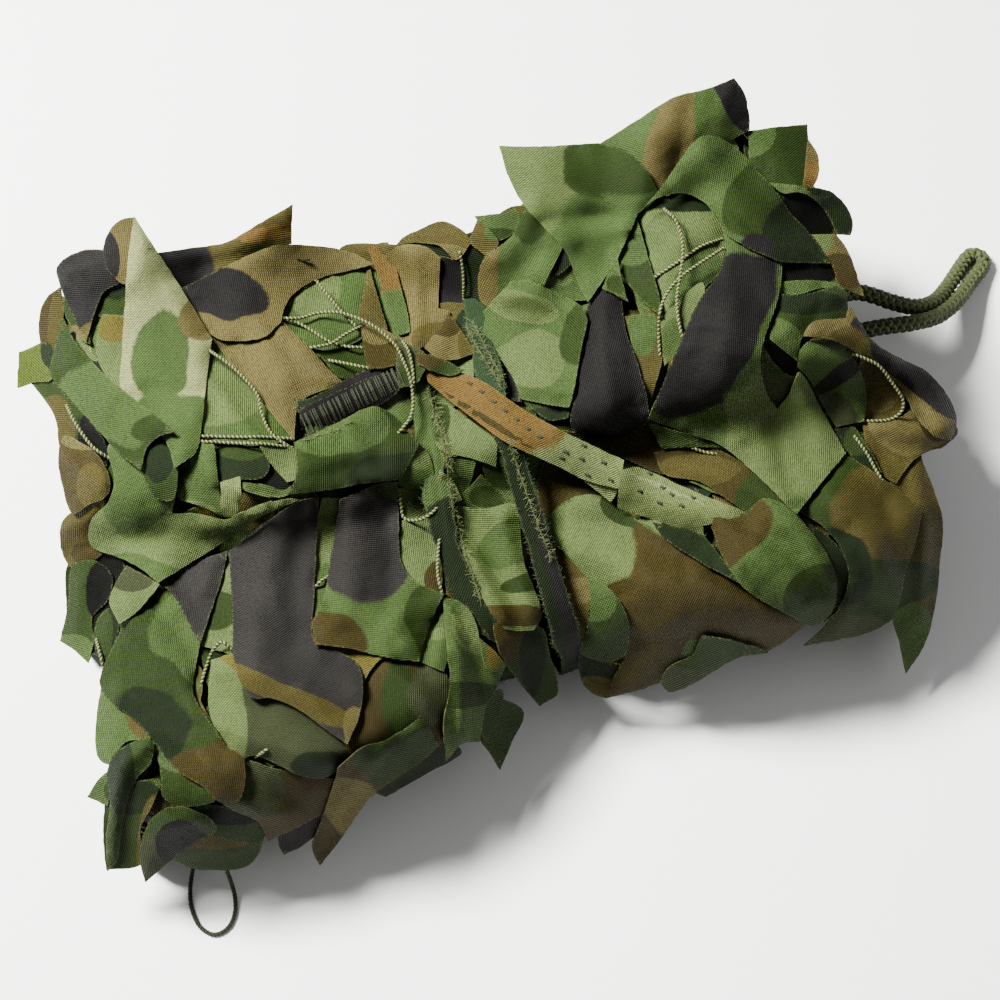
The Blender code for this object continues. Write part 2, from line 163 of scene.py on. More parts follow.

# The leaves of the cloth that show from above. A row is a name, its level and crown, its tones, its
# blots, its outline and any creases. A leaf of a lower level is laid first, and crown is how far a
# leaf's middle stands up, in levels. The first tone is the ground, and each further one has a
# blot: centre, half sizes and turn, as shares of the leaf's box and degrees. An outline's ! marks
# a corner, and ^ raises that point by so many levels. A crease is a line, how wide it is and how
# far it stands up, and one below zero is a trough.
# Painted highlight: oval_leaf's third blot, light at its upper left, is a satin highlight painted over its
# print.
# Painted shade: arch_inside's dark blot along its top edge is the shade under the arch painted onto its
# print.
# Painted shade: diag_curl_in's dark blot is the shade inside its curl painted onto it.
# Painted shade: shade_sheet is a sheet of cloth painted dark for the shade it lies in.
# Partly painted shade: tube's dark blot along its top is partly its print and partly the shade under the arch
# painted onto it.
LEAVES = """
waist_back | 0 0 | olive dark | .5 .5 .3 .4 0 |
  340,248 400,244 470,232 520,205 560,240 540,300 480,330 400,350 350,300 |
  352,252 420,242 500,222 8 1.0; 360,290 440,286 520,250 8 -0.9
under_fall | 1 1 | green light | .3 .5 .3 .5 60 |
  200,335! 214,338 235,366 258,394 287,428 296,440! 250,446 200,442! 198,390 |
  208,378 234,412 262,450 6 1.0; 214,356 214,420 8 -0.8
shade_sheet | 0.6 0 | dark mid | .5 .2 .5 .3 0 |
  206,440! 262,445 270,466 262,478 240,480 215,480 208,460
pocket | 0.3 -1 | gap | |
  236,462 262,456 296,486 290,497 250,492 236,484
pocket_tip | 1.4 0 | light | |
  258,443! 296,450 297,478 287,482! 272,465
crescent | 1 0 | green light | .5 .9 .6 .3 0 |
  240,482! 262,484 284,490 292,484! 288,495 268,497 244,490
strip_mid | 1.6 1 | green light mid | .4 .9 .6 .12 0; .2 .3 .2 .3 0 |
  200,444! 212,441 217,470 222,517! 203,507 176,497 170,484 180,468 196,455 |
  192,470 196,490 206,506 8 -0.9; 208,448 212,480 6 0.9
pale_tab | 2.2 1 | leek | |
  220,482! 240,476! 241,500 237,512 228,519 222,515
brown_left | 1 1 | brown olive tan | .6 .6 .3 .3 0; .5 .05 .5 .15 0 |
  64,436 58,458 62,484 72,514 90,504 106,497 110,480 98,455 80,442 |
  62,452 80,470 104,486 7 1.1
left_strip | 0.8 0 | mid olive gap | .3 .6 .3 .4 0; .8 .7 .2 .4 0 |
  30,382! 48,378 70,400 98,430 108,452 104,470 84,456 62,452 54,415 |
  40,392 70,420 100,452 6 1.0
tan_left | 0.6 2 | olive brown | .6 .8 .3 .2 0 |
  106,500! 88,504 70,513 61,524 60,542 63,556 72,568 92,562 104,550 98,520 |
  66,530 84,520 104,512 7 1.1; 70,552 88,546 102,540 6 -0.9
left_deep | 0.2 0 | dark gap | .8 .5 .4 .5 0 |
  70,562 120,556 124,590 112,620 104,655 84,650 70,640 66,600
left_green | 1 1 | mid green gap | .2 .9 .5 .2 0; .8 .3 .3 .3 0 |
  72,566 68,604 60,641! 76,652 88,663! 94,640 92,618 108,600 112,575 92,560 |
  80,580 80,610 72,640 7 1.1; 96,576 92,610 6 -0.9
left_curl | 1.3 1 | dark mid | .4 .4 .4 .4 0 |
  96,622 94,645 103,668! 112,650 119,630 116,612 108,608
hatch_low | 1.2 1 | mid green | .5 .2 .5 .3 0 |
  156,742 161,778 162,796 176,806 198,806 216,800 206,786 188,774 170,758
dark_lens | 0.8 0 | mid gap | .4 .3 .5 .2 0 |
  196,806 250,812 262,820 262,842 236,842 206,832
olive_low | 0.5 1 | mid olive | .5 .2 .5 .3 0 |
  172,858! 186,866 204,870 246,867 262,846 262,830 230,836 200,834 180,846
yellow_left | 0.8 1 | green olive | .8 .3 .3 .4 0 |
  101,686! 96,720 97,756 108,764 126,742 152,738 140,724 114,703
yellow_low | 0.6 0 | mid dark olive | .5 .2 .5 .2 0; .9 .7 .3 .5 0 |
  104,806! 103,836 106,870! 142,864 140,830 152,806 160,780 130,784 112,796
low_tip_left | 0.7 0 | green mid | .9 .5 .3 .5 0 |
  108,772 98,780 87,797! 107,806! 112,790
low_curl | 2 2 | mid dark | .3 .3 .3 .3 0 |
  148,736! 128,744 114,754 107,772 110,800 106,836 107,872! 117,862 121,838 126,806 136,780 150,764 154,746
  |
  146,742 126,760 116,800 110,850 7 1.6; 154,754 136,784 124,820 6 -1.1
dark_curl | 1.8 1 | mid gap grey | .55 .5 .35 .3 0; .1 .7 .12 .4 0 |
  145,883!^1 140,860 142,838 152,818 168,808 188,808 208,817 217,830 196,842 174,858 |
  146,870 160,830 196,818 8 1.3
stub_low | 0.4 0 | black | |
  280,834 279,846 284,855! 302,846 320,830 320,814 296,824
dark_front | 0.3 0 | dark | |
  372,790 386,797! 430,772 462,752 440,740 400,760
bottom_band | 0.9 1 | brown grey mid | .3 .5 .3 .4 0; .7 .3 .3 .2 0 |
  200,700! 214,724 228,748 262,764 300,774 336,780 348,792 322,814 300,826 268,842! 258,822 232,810 204,790
  184,760 |
  206,712 250,748 320,770 10 1.4; 200,744 250,784 300,806 9 -1.2; 214,790 262,816 300,810 8 1.1
olive_middle | 1.6 1 | brown mid grey | .5 .4 .15 .5 0; .85 .3 .25 .4 0 |
  354,672! 382,660 420,662 444,670 452,702 452,742 432,744! 400,742 372,756 348,752 344,736 358,712 |
  360,676 380,700 400,740 8 -1.1; 390,668 420,700 436,738 8 1.2; 420,668 446,700 6 -0.8
front_tongue | 2.2 1 | brown mid tan | .75 .15 .4 .25 -35; .3 .6 .2 .3 -50 |
  338,768! 362,748 390,738 421,716! 430,728 439,746! 418,764 394,780 370,798 346,832 320,866! 312,848
  322,818 332,788 |
  420,722 380,756 330,820 9 1.3; 400,742 360,790 330,850 6 -0.9
wedge | 1 0 | mid | |
  484,700! 502,690 500,718 484,744! 480,724
front_spike | 0.5 0 | mid | |
  480,738 492,756 500,770!^-1 512,742 524,712 500,700 484,716
panel_dark | 1.4 0 | mid brown dark | .2 .2 .3 .3 0; .6 .5 .2 .4 0 |
  496,622 542,628 550,655 558,692 540,706! 518,680 500,652
olive_strip | 1.2 0 | olive tan | .5 .5 .2 .5 70 |
  554,544! 576,564 590,584 589,612 584,642! 576,636 568,602 558,570
round_foot | 1 0 | dark olive | .3 .8 .5 .3 0 |
  580,652 612,664 626,668 622,690 607,699! 592,693 582,682
round_small | 2 2 | mid green | .3 .25 .35 .3 50 |
  588,576! 606,586 622,604 630,632 624,656 606,662 584,656 579,650! 588,628 590,600
hollow_brown | 0.6 1 | olive brown green | .3 .35 .5 .4 20; .9 .5 .25 .5 0 |
  556,430! 600,434 650,424 672,440 704,452 742,470! 752,500 720,495 690,482 650,470 610,452 575,440
hollow_green | 0.6 1 | green mid | .3 .3 .3 .3 0 |
  482,436! 520,442 548,466 556,500 545,526 522,520 498,500 484,474
hollow_tan | 0.9 1 | brown olive green | .4 .7 .3 .3 0; .9 .9 .3 .3 0 |
  540,462! 566,468 600,484 612,500 590,500 566,502 545,526! 538,500
brown_big | 1.5 1.5 | brown light green mid | .17 .27 .2 .24 20; .57 .83 .05 .12 0; .30 .08 .10 .06 30 |
  540,526! 562,503 590,494 618,505 646,527 700,558 742,587 780,603 810,616 800,630 770,650 736,657! 700,670
  662,682 640,690 608,698! 614,676 626,655 630,635 625,612 612,592 590,580 562,550 |
  556,540 610,560 680,590 780,620 20 1.8; 560,520 620,530 680,560 10 -1.0; 620,640 680,640 740,644 10 -1.0;
  700,576 760,606 9 1.0
grey_foot | 2.4 1 | grey mid | .5 .3 .5 .3 0 |
  702,636! 690,656 668,668 661,681 668,692 680,690 702,679 738,658 768,652 730,640
slit_dark | 1.6 0 | dark | |
  652,522! 700,534 722,558 744,586! 700,562 664,538
brown_under_tape | 1.4 0 | brown mid olive | .8 .7 .3 .4 40; .3 .3 .3 .2 0 |
  654,452! 688,447 724,452 764,480 800,514! 772,522 740,508 700,482 664,474 |
  664,464 720,474 790,506 8 1.1
right_crescent | 0.8 0 | dark | |
  800,516! 836,544 850,572 846,602 824,622! 836,596 832,566
green_right | 2.2 2 | green brown mid | .08 .3 .22 .5 60; .85 .8 .25 .25 0 |
  706,512! 742,514 764,498 790,508 808,528 826,552 836,578 836,598 829,616 812,626 790,616 762,601 742,587!
  724,560 |
  716,520 760,560 812,600 16 1.9; 740,520 790,550 826,590 9 -1.2; 768,504 806,540 834,586 8 1.2; 750,590
  790,610 8 -0.8
spike_right | 1 0 | olive green mid | .3 .88 .6 .25 0; .2 .6 .15 .3 80 |
  888,486! 904,468 920,455! 934,490 943,522 940,562 936,602 926,642 906,674! 899,640 892,616 900,590 908,555
  914,520 |
  916,470 926,530 920,620 8 1.5; 902,500 908,560 6 -1.0
brown_right | 1.6 2 | mid olive dark grey | .68 .3 .3 .32 30; .3 .6 .3 .2 0; .4 .95 .4 .12 0 |
  812,488! 828,470 846,454! 880,476 923,509! 916,542 906,572 900,600 892,619 868,633 838,640 804,646!
  830,620 846,592 848,568 838,544 820,524 800,510 |
  828,486 860,520 890,590 14 1.7; 850,466 884,500 900,560 9 -1.1; 820,520 850,570 850,620 8 1.0; 868,600
  890,612 7 -0.9
yellow_right | 1.1 1 | olive tan brown | .5 .3 .5 .3 0; .8 .2 .2 .3 0 |
  862,420! 898,418 930,400 958,430 945,446 926,452 912,462 896,484! 880,472 866,446 |
  866,424 900,432 946,432 9 1.3; 876,448 896,470 7 -0.9
back_brown_curl | 1 1 | olive tan | .5 .8 .5 .2 0 |
  388,256! 402,238 420,229 442,221 462,230 472,242! 456,260 440,246 412,243 400,246
mid_brown | 1 1 | tan olive | .8 .9 .4 .2 0 |
  386,254! 402,245 424,246 440,258! 438,308! 450,312 432,340 410,352 400,340 396,298 |
  392,258 396,300 404,340 7 -1.0; 412,250 416,300 414,340 8 1.2; 430,256 430,300 6 -0.8
notch_black | 0.6 -1 | black | |
  438,256! 462,262! 464,308! 437,309!
olive_notch | 0.8 0 | olive dark | .8 .5 .3 .4 0 |
  434,306 468,306 474,330 476,352 450,345 428,345
frayed_top_a | 1.4 0 | olive green | .8 .3 .3 .3 0 |
  468,242! 477,219! 487,228 499,243 486,256! 478,250
frayed_top_b | 1.2 0 | green mid | .5 .8 .5 .2 0 |
  474,216! 500,213 514,208! 520,216 512,234 494,243! 484,228
brown_tip | 1.8 1 | tan brown olive | .4 .2 .3 .25 0; .9 .7 .2 .4 0 |
  424,347! 438,330 449,313! 460,328 476,353! 452,360 436,358
band_left | 2 1 | olive | |
  368,258! 374,284 388,330! 360,320 364,290
inner_one | 0.8 1 | green light | .3 .3 .3 .3 0 |
  284,312 300,290 330,276 372,266 384,300 372,330 342,348 312,348 290,330 |
  300,300 330,304 360,300 8 1.1; 300,326 340,322 374,318 6 -0.9
inner_two | 0.6 0 | mid green | .5 .2 .5 .2 0 |
  306,344 340,330 366,322 372,348 376,372 342,378 322,358
cape | 3.2 1.5 | tan black | .21 .50 .22 .27 0 |
  182,288! 206,276 232,263 256,252 280,245 320,246 350,252 374,264! 352,270 326,276 304,286 290,298 283,312
  281,322! 262,338 222,340 206,330 190,306 |
  192,288 232,270 262,258 12 0.9; 214,312 262,322 9 0.8
brown_fall | 2.4 1.5 | tan light olive | .38 .86 .3 .16 45; .2 .1 .4 .25 0 |
  186,296 240,290 268,300 284,322! 308,346 326,366 345,384! 318,392 297,402! 294,440! 280,424 254,392
  236,368 212,338! 196,318 |
  192,312 216,340 244,372 8 -1.1; 282,322 310,352 338,380 10 1.3; 240,300 262,340 290,380 12 1.0
back_spike | 1.6 0.5 | olive black orange | .15 .75 .32 .3 0; .98 .3 .06 .5 80 |
  150,254! 190,248 226,242 258,224 293,204!^1 292,224 292,244! 266,250 236,264 206,277 182,290! 162,272 |
  160,262 210,250 262,238 9 1.2; 262,226 290,212 7 1.0; 200,268 250,254 7 -0.9
tip_reverse | 2.4 0 | tan black | .1 .6 .4 .4 0 |
  134,217! 120,220 109,231 103,249 106,268 126,284 138,250
black_frayed | 1.8 1.5 | black olive | .55 .95 .3 .2 0 |
  90,249 72,254 59,264 56,272 64,296 76,322 86,342! 94,316 104,292 128,278 128,262 110,252 |
  60,278 80,270 112,262 8 1.3; 70,296 90,300 104,290 7 -0.9
brown_sliver | 1.2 1 | brown olive | .7 .5 .3 .5 0 |
  60,287! 46,298 39,318 40,342 48,368! 58,340 64,310
small_under | 1.4 0 | mid tan | .5 .9 .4 .3 0 |
  62,296! 76,300 84,322 90,344 80,338 66,318
dark_disc | 1 0 | mid dark | .6 .3 .3 .3 0 |
  92,300 100,284 116,278 130,282 130,312 108,318 96,316
green_strip | 1.2 0 | light yellow | .5 .2 .5 .2 0 |
  102,314! 130,320 126,392! 106,376 96,350
square_end | 1.6 0.5 | lime dark | .8 .2 .25 .4 0 |
  19,352! 32,347 46,340! 56,352 60,372 48,382! 32,383 17,388!
diag_curl_in | 2.6 0 | mid dark | .4 .4 .4 .4 0 |
  142,464 148,450 162,438 176,434 178,470 173,500 156,498 146,482
pale_leaf | 2.4 2 | light green green | .3 .93 .25 .08 20; .25 .25 .2 .4 0 |
  108,446 114,480 108,502 93,517 88,534 93,548 120,558 140,568 158,583! 200,557 237,534! 262,516 302,499!
  280,500 258,505 238,514 225,520 200,514 172,514! 176,492 172,470 158,450 130,440 |
  106,508 150,514 206,512 14 0.5; 96,540 140,534 200,540 10 -0.5; 206,526 250,512 296,500 9 1.0; 130,452
  140,480 150,500 9 -0.9
tall_pale | 3.6 2 | pale green tan green | .456 .563 .37 .17 0; .88 .42 .24 .09 0; .6 .87 .75 .17 0 |
  134,216! 154,246 180,286 212,339! 206,386 201,432 196,452 184,462 174,468! 168,446 150,420 122,392 122,350
  125,300 128,258 |
  150,236 172,300 196,356 14 1.5; 147,387 176,390 206,394 5 -1.1; 128,390 146,412 170,434 6 1.0
diag_pale | 4.4 1.2 | mid green mid | .5 .55 .28 .36 -40; .8 .72 .14 .09 -20 |
  62,316! 74,340 96,366 118,386 146,408 176,432!^1 160,436 147,448 141,471!^1 118,452 99,431 72,401 48,374!
  |
  63,318 104,364 170,428 9 1.5; 124,386 116,412 108,438 6 -1.2; 58,372 90,412 130,452 9 -0.9; 146,410
  160,430 6 1.0
roof | 3.4 2 | mid green dark | .30 .2 .5 .35 0; .9 .8 .5 .3 0 |
  294,442! 318,432 346,418 372,406 392,414 406,430 420,442! 410,462 400,480! 362,484 330,490 290,494!
  297,470 |
  300,440 340,424 376,412 12 1.7; 300,478 350,470 404,452 10 -1.3; 352,430 366,456 372,478 8 0.9
left_twine_leaf | 2 1 | green light | .5 .2 .4 .3 0 |
  378,404! 398,386 410,400 412,420 400,428!
green_tab | 2.2 1 | green light | .5 .3 .4 .3 45 |
  397,455! 413,441 426,450 434,472 432,490! 414,489 399,486!
tab_right | 2 0 | green mid | .5 .8 .5 .3 0 |
  444,455! 476,462! 470,484 460,498! 448,480
pale_fold | 2.4 0 | pale light | .5 .3 .4 .3 0 |
  440,470! 454,482 462,500! 448,504 438,496
fan | 2.2 1 | green mid | .7 .6 .4 .3 0 |
  481,475! 498,492 516,506! 492,510 466,508 448,502! 464,492
pale_knot | 2.8 1 | light mid | .1 .2 .2 .4 0 |
  430,404! 446,404 470,420 498,440! 496,467! 470,458 440,450 433,430
twine_cloth_top | 1 0 | light | |
  398,488! 434,490 440,518! 402,518!
twine_cloth | 1.4 1 | light brown | .85 .85 .3 .25 0 |
  402,520! 440,516 442,560 442,596! 420,586 405,570 400,545
slit_leaf_a | 0.8 0 | light mid | .3 .6 .3 .4 80 |
  230,548! 238,600 236,656! 216,650 200,645! 214,600
slit_leaf_b | 0.8 0 | light green | .5 .8 .4 .3 0 |
  346,498! 340,530 330,570 324,602 312,622! 310,560 318,520 322,498!
black_left | 2 1 | coal | |
  157,582! 190,564 228,550! 222,578 211,612 200,645! 186,618 171,592 |
  176,576 196,606 204,636 10 -1.0; 214,556 206,590 8 1.0
black_right | 2.2 1.5 | coal olive tan | .42 .80 .42 .06 24; .95 .95 .1 .1 0 |
  229,551! 262,525 300,501 319,498! 316,556 314,600 314,640 336,650 358,664 363,690 358,720 347,744!
  331,734! 311,718 290,705 270,698 252,698 240,682 233,656! 232,612 |
  262,530 258,600 256,670 18 1.6; 300,510 296,580 300,640 12 -1.0; 240,700 290,704 340,734 9 1.0
lens | 1.5 2 | grey light yellow dark | .10 .50 .15 .6 0; .42 .16 .48 .10 26; .8 .9 .25 .12 0 |
  211,660! 234,654 262,668 292,680 320,700 346,740 356,750! 344,766 324,778 300,776 276,764 256,756 240,758
  225,746 213,724 208,700 |
  214,670 260,676 320,714 352,750 8 1.4; 222,700 270,712 320,740 9 -1.1; 226,728 270,746 330,764 8 1.1
black_two | 2.6 1.5 | green coal brown mid | .38 .33 .32 .42 8; .12 .86 .3 .16 0; .9 .75 .2 .2 0 |
  340,500! 362,490 382,483 398,482! 399,520 401,560 414,580 444,594! 430,624 419,661! 400,660 380,656!
  352,649 314,644! 312,622! 323,600 330,560 |
  358,496 352,560 344,620 16 1.5; 388,490 392,560 386,610 10 -1.0; 392,620 410,650 9 1.2; 330,600 370,640 8
  -0.9
yellow_small | 1.8 0 | yellow tan | .5 .8 .4 .3 0 |
  318,644! 354,648 386,655! 372,668 360,690! 344,668
green_left_big | 1.8 1.5 | mid green dark brown | .75 .25 .3 .3 60; .3 .7 .2 .3 60; .95 .85 .2 .5 70 |
  126,566! 144,574 158,583 172,592 187,618 200,644! 196,666 193,690 199,706 212,724 226,746 244,758 240,800
  216,800 204,788 182,774 166,758 154,742 134,720 112,703 100,686 102,670 112,648 120,630 118,618 109,602
  116,582 |
  120,600 150,640 190,690 14 1.6; 140,590 172,620 196,650 9 -1.2; 120,690 160,720 214,770 10 1.2; 204,720
  226,760 8 -0.9
reverse_top | 2.2 0.5 | light grey | .5 .2 .5 .3 0 |
  126,565! 142,574 160,584! 146,602 132,616 119,624! 109,602 116,582
pleats | 1.6 1 | green light | .6 .5 .1 .5 80 |
  444,596! 430,622 420,640 417,660! 430,666 444,672! 452,640 |
  438,606 430,640 426,664 5 -1.1; 446,610 442,640 436,668 5 1.1
pleated | 2.4 1 | green mid light | .2 .6 .1 .5 85; .6 .2 .3 .2 40 |
  443,597! 461,602 475,620 481,645 492,670! 506,666! 496,690 486,708 480,742! 462,744 446,762! 444,720
  450,690 446,640 |
  448,604 458,650 462,734 6 1.5; 454,602 474,650 484,700 6 -1.3; 460,604 488,644 504,664 6 1.3; 450,660
  454,730 5 -1.0
pleat_curl | 3 0 | green yellow | .5 .5 .3 .4 0 |
  480,638! 494,650 507,666! 496,672 486,668
waist_dark | 1.2 0 | dark olive | .6 .4 .2 .4 60 |
  440,530! 462,560 482,596 500,640 490,640 466,606 446,594!
waist_leaf | 2.2 1.5 | light green brown mid | .75 .3 .2 .4 70; .6 .88 .4 .09 0; .93 .6 .08 .3 75 |
  434,516! 452,506 482,509 515,504 520,530 524,562 534,588 542,616 534,630! 520,631 504,629! 488,608 472,578
  452,546 |
  440,520 470,560 500,616 8 1.4; 462,512 490,560 520,618 9 -1.1; 500,508 512,560 532,610 8 1.2
black_under | 2.2 0 | black | |
  474,338! 498,352 514,378 522,402! 504,398 494,372 482,356
small_triangle | 1.4 0 | dark | |
  560,244! 572,262 558,276! 548,272
green_under | 1.2 0 | green light | .3 .3 .3 .3 0 |
  544,276! 562,270 580,272 592,300! 572,300 548,290
teal_square | 2.4 1 | green tan mid | .1 .55 .17 .5 0; .6 .1 .3 .3 0 |
  525,203! 543,224 563,246! 544,286! 522,281 506,300 490,310! 480,300 478,276 485,256 500,246 514,232 |
  490,262 520,236 534,214 9 1.1; 506,284 540,250 8 -0.9
oval_leaf | 3.2 2 | green light mid light | .52 .62 .22 .30 75; .95 .4 .16 .3 20; .45 .2 .30 .12 15 |
  511,281! 530,281 556,293 580,305 588,319! 581,350 574,390 569,408! 545,404 521,399! 512,376 494,352
  468,329! 488,306 |
  488,296 530,296 584,314 9 1.3; 512,400 540,398 568,400 5 -1.1; 500,330 540,370 556,396 14 1.0; 572,320
  566,372 8 -0.8
oval_foot | 2.6 0 | mid dark | .5 .8 .5 .3 0 |
  520,397! 570,404 568,418! 548,420
olive_gap | 1 0 | olive green | .4 .2 .4 .3 0 |
  624,316! 662,316 664,350 652,398! 644,402 636,360
arch_inside | 1.2 2 | light green dark | .7 .7 .3 .4 0; .5 .02 .6 .12 0 |
  636,212! 652,196 690,192 718,214 728,246 718,274 702,292 690,320 664,344! 658,300 644,250 |
  650,220 680,240 706,230 16 1.6; 704,289 690,312 684,322 6 -1.2; 664,270 668,320 8 1.0
green_gap | 1.4 0 | light green | .3 .7 .3 .3 0 |
  660,318! 702,282 702,310 686,342 664,366!
arch_left | 1.8 1 | mid green | .3 .3 .3 .3 60 |
  636,214! 646,250 657,286 663,318! 648,306 634,292 622,274 618,258 626,236
black_mid | 2.8 2.2 | black | |
  600,284 586,310 579,350 574,400 570,424 577,434! 600,441 626,438 650,420! 647,396 636,358 626,330 620,280!
  612,270 |
  594,300 600,360 612,430 15 1.8; 632,350 640,410 8 -0.8
light_tip | 3.2 0 | green mid | .6 .7 .4 .3 60 |
  602,288! 609,272 617,256! 622,280 628,302! 614,294
top_leaf | 1.8 1.2 | green tan black | .48 .46 .16 .60 12; .91 .18 .25 .12 60 |
  596,146! 640,118 674,97 706,89 734,78! 744,92 749,112 750,130! 726,144 700,170 668,196! 640,190 616,170 |
  676,172 684,130 692,96 9 -1.2; 636,180 648,140 662,104 14 1.3; 716,150 726,110 734,84 10 1.0
upper_broad | 3 2 | light mid green | .76 .16 .34 .27 25; .72 .72 .42 .42 0 |
  499,146! 545,146 598,143! 628,152 648,172 660,196! 648,206 637,215! 628,236 618,258! 602,282 588,302!
  578,284 567,254 545,228 523,204 509,178 |
  502,148 560,178 630,212 22 1.6; 548,222 590,216 636,214 8 -1.5; 556,246 600,232 632,228 10 1.2; 600,270
  616,240 8 -0.9
green_square | 1.4 1 | mid green | .1 .2 .4 .3 0 |
  748,131! 776,127 808,124! 808,150 804,188! 770,186 752,168
square_reverse | 2 0 | orange tan | .5 .2 .4 .3 0 |
  808,139! 818,155 819,174 813,188! 803,186! 806,160
hole_dark | 0.9 0 | gap | |
  782,206 784,194 796,190 812,196 826,210 838,234! 808,235 794,222
curl_outer | 1.6 0.6 | mid dark green | .8 .7 .3 .4 40; .3 .1 .4 .15 0 |
  768,182! 803,186 829,191 845,204 853,222 851,235! 837,234! 829,216 814,199 798,192 785,194 778,190
reverse_right | 1 1 | tan brown light | .65 .7 .4 .35 50; .2 .1 .3 .2 0 |
  806,234! 836,234! 848,250 857,274 864,296! 848,290 838,284 834,268 824,256 814,244
dark_band | 0.8 0 | brown gap | .4 .6 .6 .4 0 |
  778,260! 830,260 840,282! 800,286 778,284
tube_rim | 1.5 0 | green | |
  777,282! 806,280 836,282! 846,292 824,288 800,294 777,295!
tube | 1.7 1.5 | mid dark green | .5 .2 .45 .18 0; .15 .8 .3 .3 70 |
  777,294! 806,294 836,286 848,293! 848,319! 826,320 811,324 802,338 797,361! 783,350 769,338! 776,314
tube_gap | 0.6 -1 | gap | |
  766,338! 800,364 798,382 780,370 762,350
under_leaf | 1.8 0.5 | grey mid | .5 .2 .4 .3 0 |
  762,343! 772,360 786,374 796,378! 786,396 778,409! 768,396 762,376
right_inside | 1 -1 | olive tan brown | .55 .6 .25 .35 60; .4 .2 .4 .2 0 |
  860,358! 882,364 900,388 904,404 898,418! 866,424 858,390
right_leaf | 2.4 1 | tan black olive | .66 .44 .50 .11 42; .25 .35 .2 .2 50 |
  803,336! 812,322 846,318! 850,306! 872,340 896,356 926,371 946,393 957,420 951,441! 934,436 914,412
  902,390 880,366 856,352 832,340 |
  812,326 860,340 910,384 944,430 10 1.8; 830,330 880,362 930,420 8 -1.2; 880,356 930,376 952,420 8 1.0
grey_arch | 2.2 2 | green black grey | .62 .42 .1 .5 55; .5 .9 .4 .3 0 |
  797,367! 800,350 813,339 832,340 849,353 862,374 867,400 864,421! 850,424 836,427! 822,404 808,378 |
  836,380 836,404 836,426 5 -1.2; 812,352 840,370 856,404 10 1.5
small_dark | 1.2 0 | dark mid | .5 .3 .3 .3 0 |
  834,428! 854,426! 868,446 882,472! 868,474 848,452
arch | 3.6 1.5 | green mid dark black | .64 .52 .2 .28 30; .85 .8 .2 .3 0; .596 .97 .105 .22 0 |
  637,214!^1 654,200^1 678,193^1.5 700,199^1 717,216 728,236! 752,250 781,262! 806,263 830,263! 812,236
  792,214 778,194 762,175 745,156 728,142 714,136 698,138 680,160 660,189 646,205 |
  640,208 668,180 700,146 10 0.9; 706,160 748,204 800,252 16 1.8; 700,190 726,226 10 -0.8; 778,220 806,256 8
  -0.9
big_leaf | 3.4 2 | green black light mid | .35 .39 .155 .43 28; .77 .68 .26 .36 35; .12 .12 .1 .2 0 |
  717,214! 740,222 776,232 782,260 778,298 763,344 761,370 768,396 778,409! 790,392 800,372 822,410 846,453!
  822,482 797,514!^1 764,482 722,446 690,434 648,419! 672,362 699,300 719,272 725,245 |
  694,334 722,336 752,342 5 -1.0; 776,411 750,430 716,454 12 1.4; 664,408 700,420 740,446 9 -1.0; 720,240
  730,300 716,380 16 1.3; 806,400 822,440 12 1.4; 770,420 784,460 796,500 9 -1.1
flap | 2 0 | mid green | .3 .5 .4 .4 0 |
  646,420! 664,428 718,441! 734,447 690,447 662,449!
"""

# Leaves below those, laid at random: how far apart and how big.
UNDER_APART = 46.0
UNDER_SIZES = (30, 48)
UNDER_LEVEL = -1.0
UNDER_SEED = 5
SEEDS = 99999

# A loose leaf: how many points it has, how narrow it is, how far a point strays round and out, how
# often it is a corner and how many levels a corner is raised, then its blots' places and sizes as
# shares of the leaf's box and their turns in degrees.
LOOSE_POINTS = (5, 9)
LOOSE_STRETCH = (0.42, 0.85)
LOOSE_STRAY = (-0.25, 0.25)
LOOSE_REACH = (0.72, 1.2)
LOOSE_CORNERS = 0.5
LOOSE_RAISED = (-0.3, 1.3)
LOOSE_BLOTS = 2
BLOT_SHARES = ((0.1, 0.9), (0.1, 0.9), (0.15, 0.4), (0.15, 0.4))
BLOT_TURNS = (1, 90)
LOOSE_TONES = ("green light mid", "mid dark green", "brown olive tan", "dark mid black",
              "light pale green", "tan brown olive", "black dark mid", "green mid brown",
              "olive green dark", "mid green light", "yellow olive green")

# The sides that the camera doesn't see, each from its own azimuth and elevation.
SIDES = {
    "left": (-95.0, 14.0),
    "right": (88.0, 14.0),
    "behind": (180.0, 24.0),
    "behind_left": (-140.0, 20.0),
    "behind_right": (135.0, 20.0),
    "front": (-4.0, 4.0),
    "crown": (150.0, 66.0),
}
SIDE_TARGET = (0.0, 0.0, 0.045)
SIDE_APART = 30.0
SIDE_SIZES = (34, 66)
SIDE_LEVELS = 3
SIDE_CROWN = 1.2
# A leaf that would be in the way is tried again smaller and lying flat: its size and its rise.
SIDE_TRIES = ((1.0, 1.0), (0.7, 0.0), (0.45, 0.0))
# How far a leaf may pass the solids on each axis, below and above, and cover the leaves that show.
ROOM_BELOW = (0.018, 0.014, 0.0)
ROOM_ABOVE = (0.018, 0.014, 0.011)
VIEW_SLACK = 0.2 * MM

# The cloth inside the bundle is dark, partly as its own print and partly as painted shade for the gaps
# between the leaves, with blots of other tones: their scale per metre, their warp and the soft step at their
# edge.
UNDER_BLOTS = (
    ("mid", 28.0, 0.0, 0.49, 0.51),
    ("brown", 37.0, 0.5, 0.57, 0.59),
    ("green", 23.0, 0.9, 0.60, 0.62),
)

